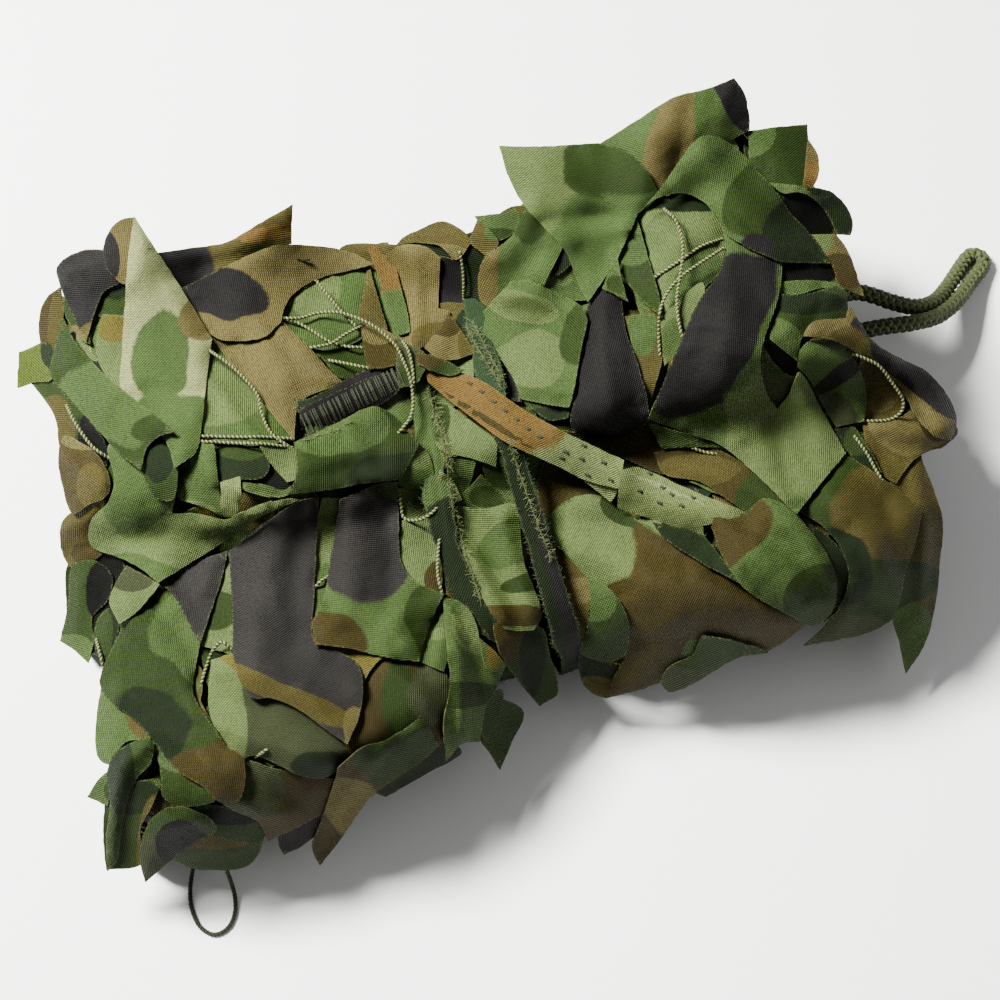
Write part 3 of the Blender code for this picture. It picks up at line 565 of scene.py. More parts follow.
# The folded mass below the leaves: how fine it is, how far in from the bundle's surface it lies,
# and the steps by which it is drawn in towards its middle where it would show past the leaves.
MASS_STEP = 2.6 * MM
MASS_SOFTENING = 3
MASS_INSET_MM = 1.1
MASS_LOWEST = 0.1 * MM
MASS_ENDS = (-0.11, 0.12)
MASS_MIDDLE = 0.032
BEHIND_CELLS = 3
DRAWN_IN_STEPS = 26
DRAWN_IN_STEP = 1.0 * MM
DRAWN_IN_SPREAD = 6
DRAWN_IN_FADE = 0.97

# The twines of the mesh that show between the leaves. A twine sinks a little into the cloth, spans
# its dips no steeper than its slope, and tucks its ends under.
TWINE_STEP = 2.5
TWINE_EVENING = 6
TWINE_SINK = 0.45 * MM
TWINE_SLOPE = 0.45
TUCK = 2.6 * MM
TUCK_REACH = 3.5 * MM
TWINES = """
fold_a | 196,436 236,437 262,437 294,439
fold_b | 196,441 232,443 264,444 294,448
diagonal | 209,350 226,362 240,374 257,394 262,414 272,434 294,450
arc_upper | 280,318 300,318 318,313 336,312 352,316 372,325 386,336 396,346 404,362 410,378 413,398 411,416
  402,429 394,436
arc_lower | 280,317 298,323 314,332 328,341 344,346 364,348
inner_cross | 316,280 330,298 342,312 352,322 362,334
inner_line | 308,348 330,344 346,334 364,325
inner_foot | 322,359 344,363 372,369
arch_a | 663,208 674,218 681,234 683,254 680,276 677,300 679,322 684,344
arch_b | 650,280 666,270 684,258 702,246 722,239
arch_c | 661,364 659,340 660,312 668,292 682,276 702,262 724,248
right_arc | 846,351 866,359 880,367 893,384 903,400 901,412 888,420 862,421
waist_a | 399,488 401,504 404,518 418,520 432,513 441,502
waist_b | 440,532 438,556 438,576 443,596
left_hatch | 66,404 76,424 92,446 110,459
slit | 199,692 206,668 212,652 222,642 234,652
black_slit | 312,591 320,582 331,575
right_edge | 850,430 866,452 876,470 886,486
flap_line | 686,445 704,452 724,455
low_left | 96,638 100,654 104,670
lens_foot | 254,758 266,750 274,744
knot_drop | 402,340 409,352 413,372 414,392
tape_side | 458,243 463,270 464,300
"""

# The tie tape. Each wrap goes all the way round. A row is its name, where it crosses with how that
# shifts with the height and with the depth, half its width, all in millimetres, and its line in
# the frame where it shows.
WRAPS = """
left_wrap | -12.5 0.5 3 | 3.6 | 371,245 380,268 389,292 397,318 405,345 417,372 424,400 431,440
  438,480 446,528 470,588 490,622 510,664 533,712
right_wrap | 7.5 -2.5 6 | 3.7 | 467,243 472,280 478,320 486,360 496,400 509,440 520,480 533,520
  543,555 557,600 569,642 578,692
"""
# How a wrap finds the tape's solid: the height of its middle, the ways it is measured in, from how
# far out and how far to each side in millimetres, then how it is evened, and where it is seen.
WRAP_MIDDLE = 0.038
WRAP_WAYS = 80
WRAP_REACH = 0.2
WRAP_SHIFTS = (-2.5, 0.0, 2.5)
WRAP_EVENING = range(-5, 6)
WRAP_LOWEST_SEEN = -0.25
WRAP_ROOM = 4
WRAP_SMOOTHING = 2
# The tape's cloth: how many points it has across, how far off the solid it lies and bulges, how far
# its width wanders and jags, and its pleats and finer wrinkles. Rises and sizes are in millimetres.
RIBBON_CUTS = 11
RIBBON_LIFT = 0.5 * MM
RIBBON_BULGE = 0.25
RIBBON_LOWEST = 0.45 * MM
RIBBON_RIM_PER_MM = 3.1
RIBBON_SEEDS = 50
WANDER_SHARE = 0.16
WANDER_SIZE = 14.0
JAG_SHARE = 0.10
PLEAT_RISE = 0.45
PLEAT_SIZE = 4.0
PLEAT_STRETCH = (0.3, 9.0)
WRINKLE_RISE = 0.30
WRINKLE_SIZE = 6.0
WRINKLE_STRETCH = 3
LEAST_FACING = -0.2
# Where the wraps change tone, down the frame, and over how far. A tilt moves that place from one
# edge of the tape to the other, and a shift moves it all. Where the tape faces away, its tones
# change in turn along it, at sizes in millimetres.
RUST_END, RUST_FADE = 296, 30
LIGHT_END, LIGHT_FADE, LIGHT_SHIFT, LIGHT_TILT = 440, 60, 0.4, 0.3
KNOT, DARK_FADE, BLACK_FADE = 500, 60, 30
DARK_TILT, DARK_AWAY = 0.2, 0.6
MID_SIZE, MID_LEAST, MID_RISE = 9, 0.4, 2.9
BLACK_TILT, BLACK_SHIFT, BLACK_SIZE, BLACK_AWAY = 1.6, 0.1, 17, 0.8
# The ribs of the strap, from its start to its end, and the stitches: each is a short twine.
RIB_START = np.array((305.0, 425.0))
RIB_END = np.array((400.0, 376.0))
RIB_ENDS = np.array(((-4.5, -9.5), (0.0, 0.0), (4.5, 9.5)))
RIBS = 34
RIB_SHIFT, RIB_TURN = 0.35, 2.3
RIB_TUCK = 0.5 * MM
TAPE_LEAVES = """
under_end | 0.1 0 | leek green | .2 .5 .3 .5 0 |
  548,452! 580,478 611,502! 618,490 619,470! 590,452 560,440!
long_end | 1 0.5 | orange leek brown | 1.62 .8 .95 1.7 0; .3 .42 .36 .022 32 |
  424,367! 452,370 484,382 517,405 559,429 613,455 624,460! 619,489! 588,481 559,467 505,442^1.4 484,427^1.8
  463,411^1.2 440,393 428,381!
long_tip | 1.2 0.4 | leek pale | .35 .3 .4 .03 22 |
  617,508! 619,486 622,470! 638,467 680,485 713,499 752,514! 722,521 703,526! 705,538! 660,522
short_end | 0.4 0.4 | dark black | .75 .3 .5 .5 30 |
  294,399! 310,398 340,382 370,368 400,362! 411,378! 398,389 360,412 330,426 310,439 294,441! 300,420
short_under | 0.1 0 | black | |
  300,408! 340,390 380,374 404,372! 396,394 350,420 316,440 300,436!
wrap_head | 0.3 0.5 | green orange | .4 .08 1.2 .42 0 |
  368,247! 378,243 388,242! 395,262 400,284 406,306 411,332! 398,334 389,308 381,284 374,264
knot_brown | 0.9 0.4 | brown tan | .5 .2 .5 .3 0 |
  360,322! 384,329 398,340 402,363! 384,368 368,369! 364,350
knot_grey | 0.6 0.6 | grey mid | .5 .8 .5 .3 0 |
  398,338! 412,346 424,352 426,368! 416,384 400,388! 396,366
knot_dark | 0.8 0 | mid brown | .3 .3 .4 .4 0 |
  416,351! 440,358 464,370! 452,376 430,370 418,364!
"""
STITCH_ENDS = np.array(((-2.4, -1.6), (0.0, 0.0), (2.2, 0.6)))
# Where the tape's cloth is cut and frays.
FRINGES = ("466,326 474,342 484,358 494,374 502,390", "472,322 482,340 492,360 502,378",
           "426,388 434,412 442,438 448,468", "432,392 440,418 448,444 452,470",
           "448,480 456,520 468,560 480,600", "510,440 524,486 540,530 552,560",
           "298,404 296,424 296,438", "302,440 330,432 352,420")
STITCHES = """
470,384 482,392 494,402 505,411 517,420 528,429 540,437 512,399 530,411 584,446 582,459 604,463
566,452 562,458 588,475 611,480 608,452 640,491 663,488 672,495 693,498 660,503 682,506 697,491
650,474 676,482
"""

# The rope and the corner twine, in millimetres: x, y and z along each middle line, how far apart
# their points are, and the sizes of the rope's braid.
ROPE_LOOP = """
127,12,44.6 132.6,13,41.9 137.9,13.3,39.3 143,11.6,36.6 150,9.4,31.6 159,8.4,24.9 168.6,11.4,18.1
177.8,18,11.4 186,24.8,6.8 191.9,29.6,3.9 195.4,31.6,3.0 198.2,30.2,2.9 198.4,27.2,2.9
195.4,24.4,3.6 189,19.8,6.5 181.4,13.8,11.1 173,8.0,16.6 163.6,3.4,22.6 153,1.2,28.8 144,1.0,32.7
139.4,1,34.3 133.4,0.8,36.4 127,0.4,38.4
"""
CORNER_LOOP = """
-121,-85.1,14 -120.5,-87.6,9.5 -120.4,-90.5,4.5 -120.8,-94,1.6 -122.6,-98.5,0.9 -126,-101.8,0.9
-130.4,-102.2,0.9 -133.6,-98.4,0.9 -134.2,-92.6,0.9 -133,-86.8,1.2 -131,-82.6,2.4 -129.4,-80.2,4.2
"""
ROPE_STEP_MM = 1.5
CORNER_STEP_MM = 1.0
BRAID_MM = {"braid_radius": 1.72, "strand_radius": 0.92, "rise": 0.34, "pitch": 13.0, "core_radius": 1.5}

# How twines are laid: the plies' radius and distance from the middle and the length of a twist,
# in millimetres, and the paler ply's thread. The other ply is dark thread.
TWINE_SIZES = {
    "mesh_twine": (0.30, 0.26, 1.3, "pale_thread"),
    "corner_twine": (0.42, 0.36, 2.2, "loop_thread"),
    "strap_ribs": (0.17, 0.13, 1.6, "loop_thread"),
    "tape_stitches": (0.34, 0.22, 2.6, "dark_thread"),
}

# Frayed edges: dark threads along both edges of the wraps and along the fringes, and pale ones
# along the fringes.
TAPE_FRAY = {"spacing": 0.40 * MM, "length": 1.5 * MM, "radius": 0.055 * MM, "seed": 3.0}
PALE_FRAY = {"spacing": 0.24 * MM, "length": 2.4 * MM, "radius": 0.06 * MM, "seed": 8.0}

# Spun threads: their two tones, and how fine the flecks are, per metre.
FIBRES = {
    "pale_thread": ((0.165, 0.180, 0.056), (0.085, 0.098, 0.026), 9000.0),
    "dark_thread": ((0.004, 0.006, 0.002), (0.016, 0.022, 0.006), 9000.0),
    "loop_thread": ((0.020, 0.026, 0.008), (0.006, 0.009, 0.003), 9000.0),
    "cut_thread": ((0.042, 0.062, 0.020), (0.010, 0.018, 0.005), 9000.0),
    "fray_thread": ((0.115, 0.130, 0.040), (0.035, 0.050, 0.014), 9000.0),
    "rope_yarn": ((0.008, 0.013, 0.003), (0.046, 0.060, 0.013), 2000.0),
    "rope_core": ((0.012, 0.018, 0.006), (0.03, 0.045, 0.015), 2500.0),
}

# --- tables and lines ----------------------------------------------------------------------------


def rows_of(text):
    """A table's rows as lists of fields: a row starts at the margin, and | parts its fields."""
    rows = re.split(r"\n(?=\S)", text.strip())
    return [[field.strip() for field in row.replace("\n", " ").split("|")] for row in rows]


def leaf_rows(text):
    """Leaves by name, each with its level, crown, tones, blots, outline and creases."""
    leaves = {}
    for name, stand, tones, blots, outline, *creases in rows_of(text):
        level, crown = map(float, stand.split())
        leaves[name] = level, crown, tones, blots, outline_rows(outline), "".join(creases)
    return leaves


def places_of(text):
    return np.array([[float(v) for v in word.split(",")] for word in text.split()])


def outline_rows(text):
    """An outline's places, with which of them are sharp and how far each is raised."""
    rows = []
    for word in text.split():
        place, _, raised = word.partition("^")
        x, y = place.rstrip("!").split(",")
        rows.append((float(x), float(y), float(place.endswith("!")), float(raised or 0)))
    return np.array(rows)


def smooth_ring(rows):
    """A closed curve through the rows, as points an edge step apart, with a corner only where they say."""
    p = rows[:, :2]
    n = len(rows)
    out = []
    for i in range(n):
        a, b, c, d = (p[(i + k) % n] for k in (-1, 0, 1, 2))
        sharp, sharp_next = rows[i, 2], rows[(i + 1) % n, 2]
        run = np.linalg.norm(c - b)
        leave = c - b if sharp else (c - a) / (run + np.linalg.norm(b - a)) * run
        arrive = c - b if sharp_next else (d - b) / (run + np.linalg.norm(d - c)) * run
        count = max(2, round(run / EDGE_STEP))
        t = np.arange(count)[:, None] / count
        curve = ((2 * t**3 - 3 * t**2 + 1) * b + (t**3 - 2 * t**2 + t) * leave
                 + (3 * t**2 - 2 * t**3) * c + (t**3 - t**2) * arrive)
        out.append(np.hstack([curve, rows[i, 3] * (1 - t) + rows[(i + 1) % n, 3] * t]))
    return np.vstack(out)


def smooth_line(places, step):
    """An open curve through places, as points about a step apart."""
    p = np.asarray(places, float)
    p = np.vstack([2 * p[0] - p[1], p, 2 * p[-1] - p[-2]])
    out = []
    for a, b, c, d in zip(p, p[1:], p[2:], p[3:]):
        count = max(1, round(np.linalg.norm(c - b) / step))
        t = np.arange(count)[:, None] / count
        out.append(0.5 * (2 * b + (c - a) * t + (2 * a - 5 * b + 4 * c - d) * t**2
                          + (3 * b - a - 3 * c + d) * t**3))
    return np.vstack([*out, p[-2:-1]])


def run_of(points):
    """How far along a line each of its points is."""
    return np.concatenate([[0], np.cumsum(np.linalg.norm(np.diff(points, axis=0), axis=1))])


def turned(x, y, angle):
    """Coordinates along axes turned by an angle."""
    return x * math.cos(angle) + y * math.sin(angle), y * math.cos(angle) - x * math.sin(angle)


def cell_places(cell):
    """The places of a square table's cells, all over the frame."""
    steps = np.arange(int(FRAME_WIDE / cell) + 1) * cell
    return np.meshgrid(steps, steps)


def nine(table, past=None):
    """A table moved by a cell each way and not at all, filled past its rim with a value or its own rim."""
    wide = np.pad(table, 1, mode="edge") if past is None else np.pad(table, 1, constant_values=past)
    n = len(table)
    return [wide[a:a + n, b:b + n] for a in range(3) for b in range(3)]


def blend(table, x, y):
    """A table's value at places given in cells, blended between them."""
    rows, cols = table.shape
    u = np.clip(x, 0, cols - 1.001)
    v = np.clip(y, 0, rows - 1.001)
    i = u.astype(int)
    j = v.astype(int)
    s = u - i
    t = v - j
    top = table[j, i] * (1 - s) + table[j, i + 1] * s
    low = table[j + 1, i] * (1 - s) + table[j + 1, i + 1] * s
    return top * (1 - t) + low * t


# A table of soft noise, mirrored past its ends, with eight cells to a hill.
HILL_CELLS = 8
ROUGH_END = 254
ROUGH_PLANE = 4.3
ROUGH_SHIFTS = (31.7, 17.9)
ROUGH_GAIN = 1.6
steps = np.arange(ROUGH_END + 2) / HILL_CELLS
ROUGH = np.array([[noise.noise((u, v, ROUGH_PLANE)) for v in steps] for u in steps])


def ripple(x, y, size, seed):
    """Soft noise over places in the frame, about -1 to 1, with hills of that size."""
    cells = (way / size * HILL_CELLS + seed * shift for way, shift in zip((x, y), ROUGH_SHIFTS))
    u, v = (np.abs((way + ROUGH_END) % (2 * ROUGH_END) - ROUGH_END) for way in cells)
    return blend(ROUGH, u, v) * ROUGH_GAIN


def seed_of(word):
    """A fixed number for a name, below the prime 9973."""
    return sum((i + 3) * ord(c) for i, c in enumerate(word)) % 9973


# --- meshes --------------------------------------------------------------------------------------


def placed(name, data):
    """A new object at the origin."""
    held = bpy.data.objects.new(name, data)
    bpy.context.scene.collection.objects.link(held)
    return held


def mesh_of(name, points, edges, faces):
    """A plain mesh."""
    mesh = bpy.data.meshes.new(name)
    mesh.from_pydata(points, edges, faces)
    return mesh


def smooth(mesh):
    mesh.polygons.foreach_set("use_smooth", [True] * len(mesh.polygons))


def read(items, field, wide=3, kind=np.float32):
    """One field of all the items of a mesh, a row for each."""
    values = np.zeros(len(items) * wide, kind)
    items.foreach_get(field, values)
    return values.reshape(-1, wide)


def shell_of(mesh):
    """A mesh's points and faces."""
    return read(mesh.vertices, "co").astype(float), [tuple(f.vertices) for f in mesh.polygons]


def kept(held, name):
    """What an object's modifiers make of it, as a plain mesh object of its own."""
    made = bpy.data.meshes.new_from_object(held.evaluated_get(bpy.context.evaluated_depsgraph_get()))
    bpy.data.objects.remove(held)
    made.name = name
    smooth(made)
    return placed(name, made)


def tree_of(*shells):
    """A search tree over several meshes, each given as points and faces."""
    points, faces = [], []
    for p, f in shells:
        faces += [tuple(i + len(points) for i in face) for face in f]
        points += p.tolist()
    return BVHTree.FromPolygons(points, faces)


def reach_of(tree, eye, ways):
    """How far from the eye the nearest surface is in each direction, or nan."""
    met = [tree.ray_cast(Vector(eye), Vector(way))[3] for way in ways.reshape(-1, 3)]
    return np.array([np.nan if far is None else far for far in met]).reshape(ways.shape[:-1])


def within(ring, q):
    """Which places q are inside the ring, and how far each is from its edge."""
    a = ring[:, :2]
    b = np.roll(a, -1, axis=0)
    x, y = q[:, 0, None], q[:, 1, None]
    crosses = (a[:, 1] > y) != (b[:, 1] > y)
    slope = (b[:, 0] - a[:, 0]) / np.where(b[:, 1] == a[:, 1], 1e-9, b[:, 1] - a[:, 1])
    inside = (crosses & (x < a[:, 0] + (y - a[:, 1]) * slope)).sum(1) % 2 == 1
    run = b - a
    t = ((q[:, None] - a) * run).sum(2) / np.maximum((run**2).sum(1), 1e-9)
    foot = a + np.clip(t, 0, 1)[..., None] * run
    return inside, np.linalg.norm(q[:, None] - foot, axis=2).min(1)


def edges_of(triangles):
    """Each triangle's edges, in its own direction."""
    return np.vstack([triangles[:, pair] for pair in ([0, 1], [1, 2], [2, 0])])


def faced(points, triangles, out):
    """The triangles wound to face out, and a normal at each point from those round it."""
    a, b, c = (points[triangles[:, k]] for k in range(3))
    total = np.zeros_like(points)
    for k in range(3):
        np.add.at(total, triangles[:, k], np.cross(b - a, c - a))
    normals = total / np.maximum(np.linalg.norm(total, axis=1, keepdims=True), 1e-12)
    if (normals * out).sum() < 0:
        return triangles[:, ::-1], -normals
    return triangles, normals


def mark_sharp(mesh, pairs):
    """Marks these edges, given by their ends, as sharp."""
    ends, wanted = (np.sort(rows, axis=1).astype(np.int64) @ (len(mesh.vertices), 1)
                    for rows in (read(mesh.edges, "vertices", 2, np.int32), pairs))
    mesh.attributes.new("sharp_edge", "BOOLEAN", "EDGE").data.foreach_set("value", np.isin(ends, wanted))


# --- how a camera meets the bundle ---------------------------------------------------------------


class Sight:
    """A way of looking at the bundle: it turns places in a frame 1000 across into points on the cloth."""

    CELL = 10.0

    def __init__(self, azimuth, elevation, target, target_place, tree):
        a = math.radians(azimuth)
        e = math.radians(elevation)
        self.back = np.array([math.sin(a) * math.cos(e), -math.cos(a) * math.cos(e), math.sin(e)])
        self.right = np.array([math.cos(a), math.sin(a), 0.0])
        self.up = np.cross(self.back, self.right)
        across, down = ((MIDDLE - place) / FOCAL * CAMERA_DISTANCE for place in target_place)
        self.eye = np.array(target) + self.back * CAMERA_DISTANCE + self.right * across - self.up * down
        self.measure(tree)

    def lines(self, x, y):
        """Unit directions from the eye through places in the frame."""
        u = (np.asarray(x, float) - MIDDLE) / FOCAL
        v = (MIDDLE - np.asarray(y, float)) / FOCAL
        d = u[..., None] * self.right + v[..., None] * self.up - self.back
        return d / np.linalg.norm(d, axis=-1, keepdims=True)

    def place_of(self, points):
        """Where points lie in the frame."""
        p = np.asarray(points, float) - self.eye
        away = -(p @ self.back)
        return np.stack([MIDDLE + FOCAL * (p @ self.right) / away, MIDDLE - FOCAL * (p @ self.up) / away], -1)

    def measure(self, tree):
        """Records how far the bundle is along each line. Cloth spans its pits and droops past its edges."""
        far = reach_of(tree, self.eye, self.lines(*cell_places(self.CELL)))
        self.met = ~np.isnan(far)
        far[~self.met] = np.inf
        cost = np.where(self.met, STEEPEST, DROOP) * (self.CELL / FOCAL * CAMERA_DISTANCE)
        for _ in range(len(far)):
            for k, near in enumerate(nine(far, np.inf)):
                far = np.minimum(far, near + cost * math.hypot(k // 3 - 1, k % 3 - 1))
        for _ in range(DEPTH_SMOOTHING):
            far = sum(nine(far)) / 9
        self.far = far

    def points(self, x, y, lift):
        """Points at places in the frame, lifted towards the eye off the bundle and kept off the floor."""
        d = self.lines(x, y)
        away = blend(self.far, x / self.CELL, y / self.CELL) - lift
        p = self.eye + d * away[:, None]
        return p + d * (np.maximum(LOWEST_FRONT - p[:, 2], 0) / d[:, 2])[:, None]


# --- cloth leaves --------------------------------------------------------------------------------


class Pile:
    """How thick the cloth already laid is, at each place of a sight's frame."""

    CELL = 5.0
    SPILL = 0.6

    def __init__(self):
        self.top = np.zeros_like(cell_places(self.CELL)[0])

    def under(self, q, triangles):
        """The lift at which new cloth at places q clears what is below, drawn straight over the dips."""
        rest = blend(np.max(nine(self.top), axis=0), q[:, 0] / self.CELL, q[:, 1] / self.CELL)
        near, far = edges_of(triangles).T
        count = np.maximum(np.bincount(near, minlength=len(q)), 1)
        for _ in range(SPAN_ROUNDS):
            rest = np.maximum(rest, np.bincount(near, rest[far], len(q)) / count * SPAN_SLACK)
        return rest

    def lay(self, ring, q, lift):
        """Adds cloth with that lift at places q, inside a ring."""
        low = np.maximum(np.floor(ring[:, :2].min(0) / self.CELL).astype(int), 0)
        high = np.minimum(np.ceil(ring[:, :2].max(0) / self.CELL).astype(int) + 1, len(self.top))
        j, i = (side.ravel() for side in np.meshgrid(np.arange(low[0], high[0]), np.arange(low[1], high[1])))
        spots = np.stack([j, i], -1) * self.CELL
        inside, gap = within(ring, spots)
        covered = inside | (gap < self.CELL * self.SPILL)
        i, j, spots = i[covered], j[covered], spots[covered]
        near = ((spots[:, None] - q[None])**2).sum(2).argmin(1)
        self.top[i, j] = np.maximum(self.top[i, j], lift[near])


# What each point of the cloth carries: its tones, how far inside each blot it is, how far in from
# the rim, and whether it is on the back.
PRINT_TONES = ("ground", "tone_a", "tone_b", "tone_c")
PRINT_BLOTS = ("blot_a", "blot_b", "blot_c")
PRINT_VALUES = (*PRINT_TONES, *PRINT_BLOTS, "rim", "reverse")


class Heap:
    """Cloth sheets gathered into one piece, each of them closed, thin and with its own print."""

    def __init__(self, name):
        self.name = name
        self.parts = []
        self.count = 0

    def add(self, front, triangles, normals, lowest, values):
        """Adds a sheet: its front, a back one thickness behind and off the floor, and walls at its rim."""
        n = len(front)
        behind = front - normals * CLOTH
        behind[:, 2] = np.maximum(behind[:, 2], lowest)
        edges = edges_of(triangles)
        seen = set(map(tuple, edges))
        rim = np.array([edge for edge in map(tuple, edges) if edge[::-1] not in seen])
        a, b = rim.T
        walls = np.vstack([np.stack([b, a, a + n], -1), np.stack([b, a + n, b + n], -1)])
        faces = np.vstack([triangles, triangles[:, ::-1] + n, walls])
        both = np.vstack([np.hstack([values, np.full((n, 1), reverse)]) for reverse in (0.0, 1.0)])
        rims = np.vstack([rim, rim + n])
        self.parts.append((np.vstack([front, behind]), faces + self.count, both, rims + self.count))
        self.count += 2 * n

    def gathered(self):
        """The points, faces, values and rims of all its sheets."""
        return [np.vstack(part) for part in zip(*self.parts)]

    def shell(self):
        points, faces, _, _ = self.gathered()
        return points, faces.tolist()

    def build(self):
        """The piece as a mesh, with its print in the values of each point."""
        points, faces, values, rims = self.gathered()
        mesh = mesh_of(self.name, points.tolist(), [], faces.tolist())
        smooth(mesh)
        mesh.materials.append(cloth)
        mesh.update()
        corners = read(mesh.loops, "vertex_index", 1, np.int32).ravel()
        weave = mesh.uv_layers.new(name="weave")
        weave.data.foreach_set("uv", values[corners, :2].astype(np.float32).ravel())
        for k, label in enumerate(PRINT_VALUES):
            layer = mesh.attributes.new(label, "FLOAT", "POINT")
            layer.data.foreach_set("value", values[:, k + 2].astype(np.float32))
        mark_sharp(mesh, rims)
        return placed(self.name, mesh)


def tone_number(word):
    """A tone's place in the shader's row of tones."""
    return (list(TONES).index(word) + 0.5) / len(TONES)


def print_values(q, low, high, tones, blots):
    """The print at places q of a leaf: its ground, its further tones, and how far inside each blot it is."""
    words = tones.split()
    numbers = [tone_number(words[min(k, len(words) - 1)]) for k in range(len(PRINT_TONES))]
    out = [np.full(len(q), number) for number in numbers]
    size = np.maximum(high - low, 1.0)
    for blot in blots.split(";") if blots else ():
        cx, cy, rx, ry, turn = map(float, blot.split())
        wide, tall = (size.mean(), size.mean()) if turn else size
        u, v = turned(*(q - (low + size * (cx, cy))).T, math.radians(turn))
        out.append(1 - np.hypot(u / (wide * rx), v / (tall * ry)))
    out += [np.full(len(q), NO_BLOT)] * (len(PRINT_TONES) + len(PRINT_BLOTS) - len(out))
    return np.stack(out, -1)


def crease(q, row):
    """How far a crease raises the cloth at places q: a soft ridge or trough that fades past its ends."""
    *line, wide, high = row.split()
    line = places_of(" ".join(line))
    a, run = line[:-1], np.diff(line, axis=0)
    t = np.clip(((q[:, None] - a) * run).sum(2) / (run**2).sum(1), 0, 1)
    away = np.linalg.norm(q[:, None] - a - t[..., None] * run, axis=2).min(1)
    return CREASE_RISE * float(high) * np.exp(-(away / float(wide))**2)


def cut_cloth(ring, draw):
    """Places and triangles that fill a ring evenly, on a grid turned at random."""
    low, high = ring[:, :2].min(0), ring[:, :2].max(0)
    turn = draw.uniform(0, math.pi)
    spin = np.array([[math.cos(turn), -math.sin(turn)], [math.sin(turn), math.cos(turn)]])
    reach = int((np.linalg.norm(high - low) / 2 + INNER_STEP) / INNER_STEP) + 1
    gx, gy = np.meshgrid(np.arange(-reach, reach + 1), np.arange(-reach, reach + 1))
    grid = np.stack([(gx + 0.5 * (gy % 2)) * INNER_STEP, gy * INNER_STEP * ROW_SHARE], -1).reshape(-1, 2)
    grid = grid @ spin.T + (low + high) / 2 + draw.normal(0, INNER_JAG, grid.shape)
    inside, gap = within(ring, grid)
    flat = np.vstack([ring[:, :2], grid[inside & (gap > EDGE_ROOM)]])
    hem = [(i, (i + 1) % len(ring)) for i in range(len(ring))]
    made = delaunay_2d_cdt([Vector(q) for q in flat], hem, [], INSIDE_ONLY, SAME_PLACE)
    return np.array([tuple(v) for v in made[0]]), np.array([f for f in made[2] if len(f) == 3])


def leaf(heap, sight, pile, rows, level, crown, tones, blots, seed, blocks=None, creases=""):
    """Lays one leaf of cloth on the bundle, unless it is too small or blocked, and says whether it did."""
    draw = np.random.default_rng(seed)
    ring = smooth_ring(rows)
    ring[:, :2] += draw.normal(0, EDGE_JAG, (len(ring), 2))
    q, triangles = cut_cloth(ring, draw)
    if len(triangles) < FEWEST_TRIANGLES:
        return False
    x, y = q.T
    gap = within(ring, q)[1]
    near = 1 / (((q[:, None] - ring[:, :2])**2).sum(2) + RAISED_REACH)
    raised = (near * ring[:, 2]).sum(1) / near.sum(1)
    u, v = turned(x, y, draw.uniform(0, math.pi))
    tag = float(seed % TAGS) * TAG_STEP
    folds = np.abs(ripple(u, v * FOLD_STRETCH, FOLD_SIZE, tag + FOLD_SEED)) * FOLD_SHARPNESS
    curl = np.abs(ripple(x, y, CURL_SIZE, tag + CURL_SEED))
    swell = 1 - np.exp(-gap / SWELL_REACH)
    own = (CLEAR + LIFT_STEP * level + LEVEL * (raised + crown * swell)
           - FOLD_DEPTH * np.clip(1 - folds, 0, 1) * np.clip(crown, FOLD_LEAST, 1)
           + CURL_RISE * curl * np.exp(-gap / CURL_REACH))
    for row in creases.split(";") if creases else ():
        own = own + crease(q, row) * np.clip(gap / CREASE_FADE, CREASE_LEAST, 1)
    lift = pile.under(q, triangles) + np.maximum(own, LEAST_CLEAR)
    front = sight.points(x, y, lift + BASE_LIFT + HILL_RISE * ripple(x, y, HILL_SIZE, 0.0))
    if blocks and blocks(front):
        return False
    pile.lay(ring, q, lift)
    triangles, normals = faced(front, triangles, sight.back)
    printed = print_values(q, ring[:, :2].min(0), ring[:, :2].max(0), tones, blots)
    weave = np.stack(turned(x, y, draw.uniform(0, math.pi)), -1) / PLACES_PER_METRE + tag * TAG_SHIFT
    values = np.hstack([weave, printed, np.minimum(gap, RIM_REACH)[:, None]])
    heap.add(front, triangles, normals, LOWEST_BACK, values)
    return True


# --- finishes ------------------------------------------------------------------------------------


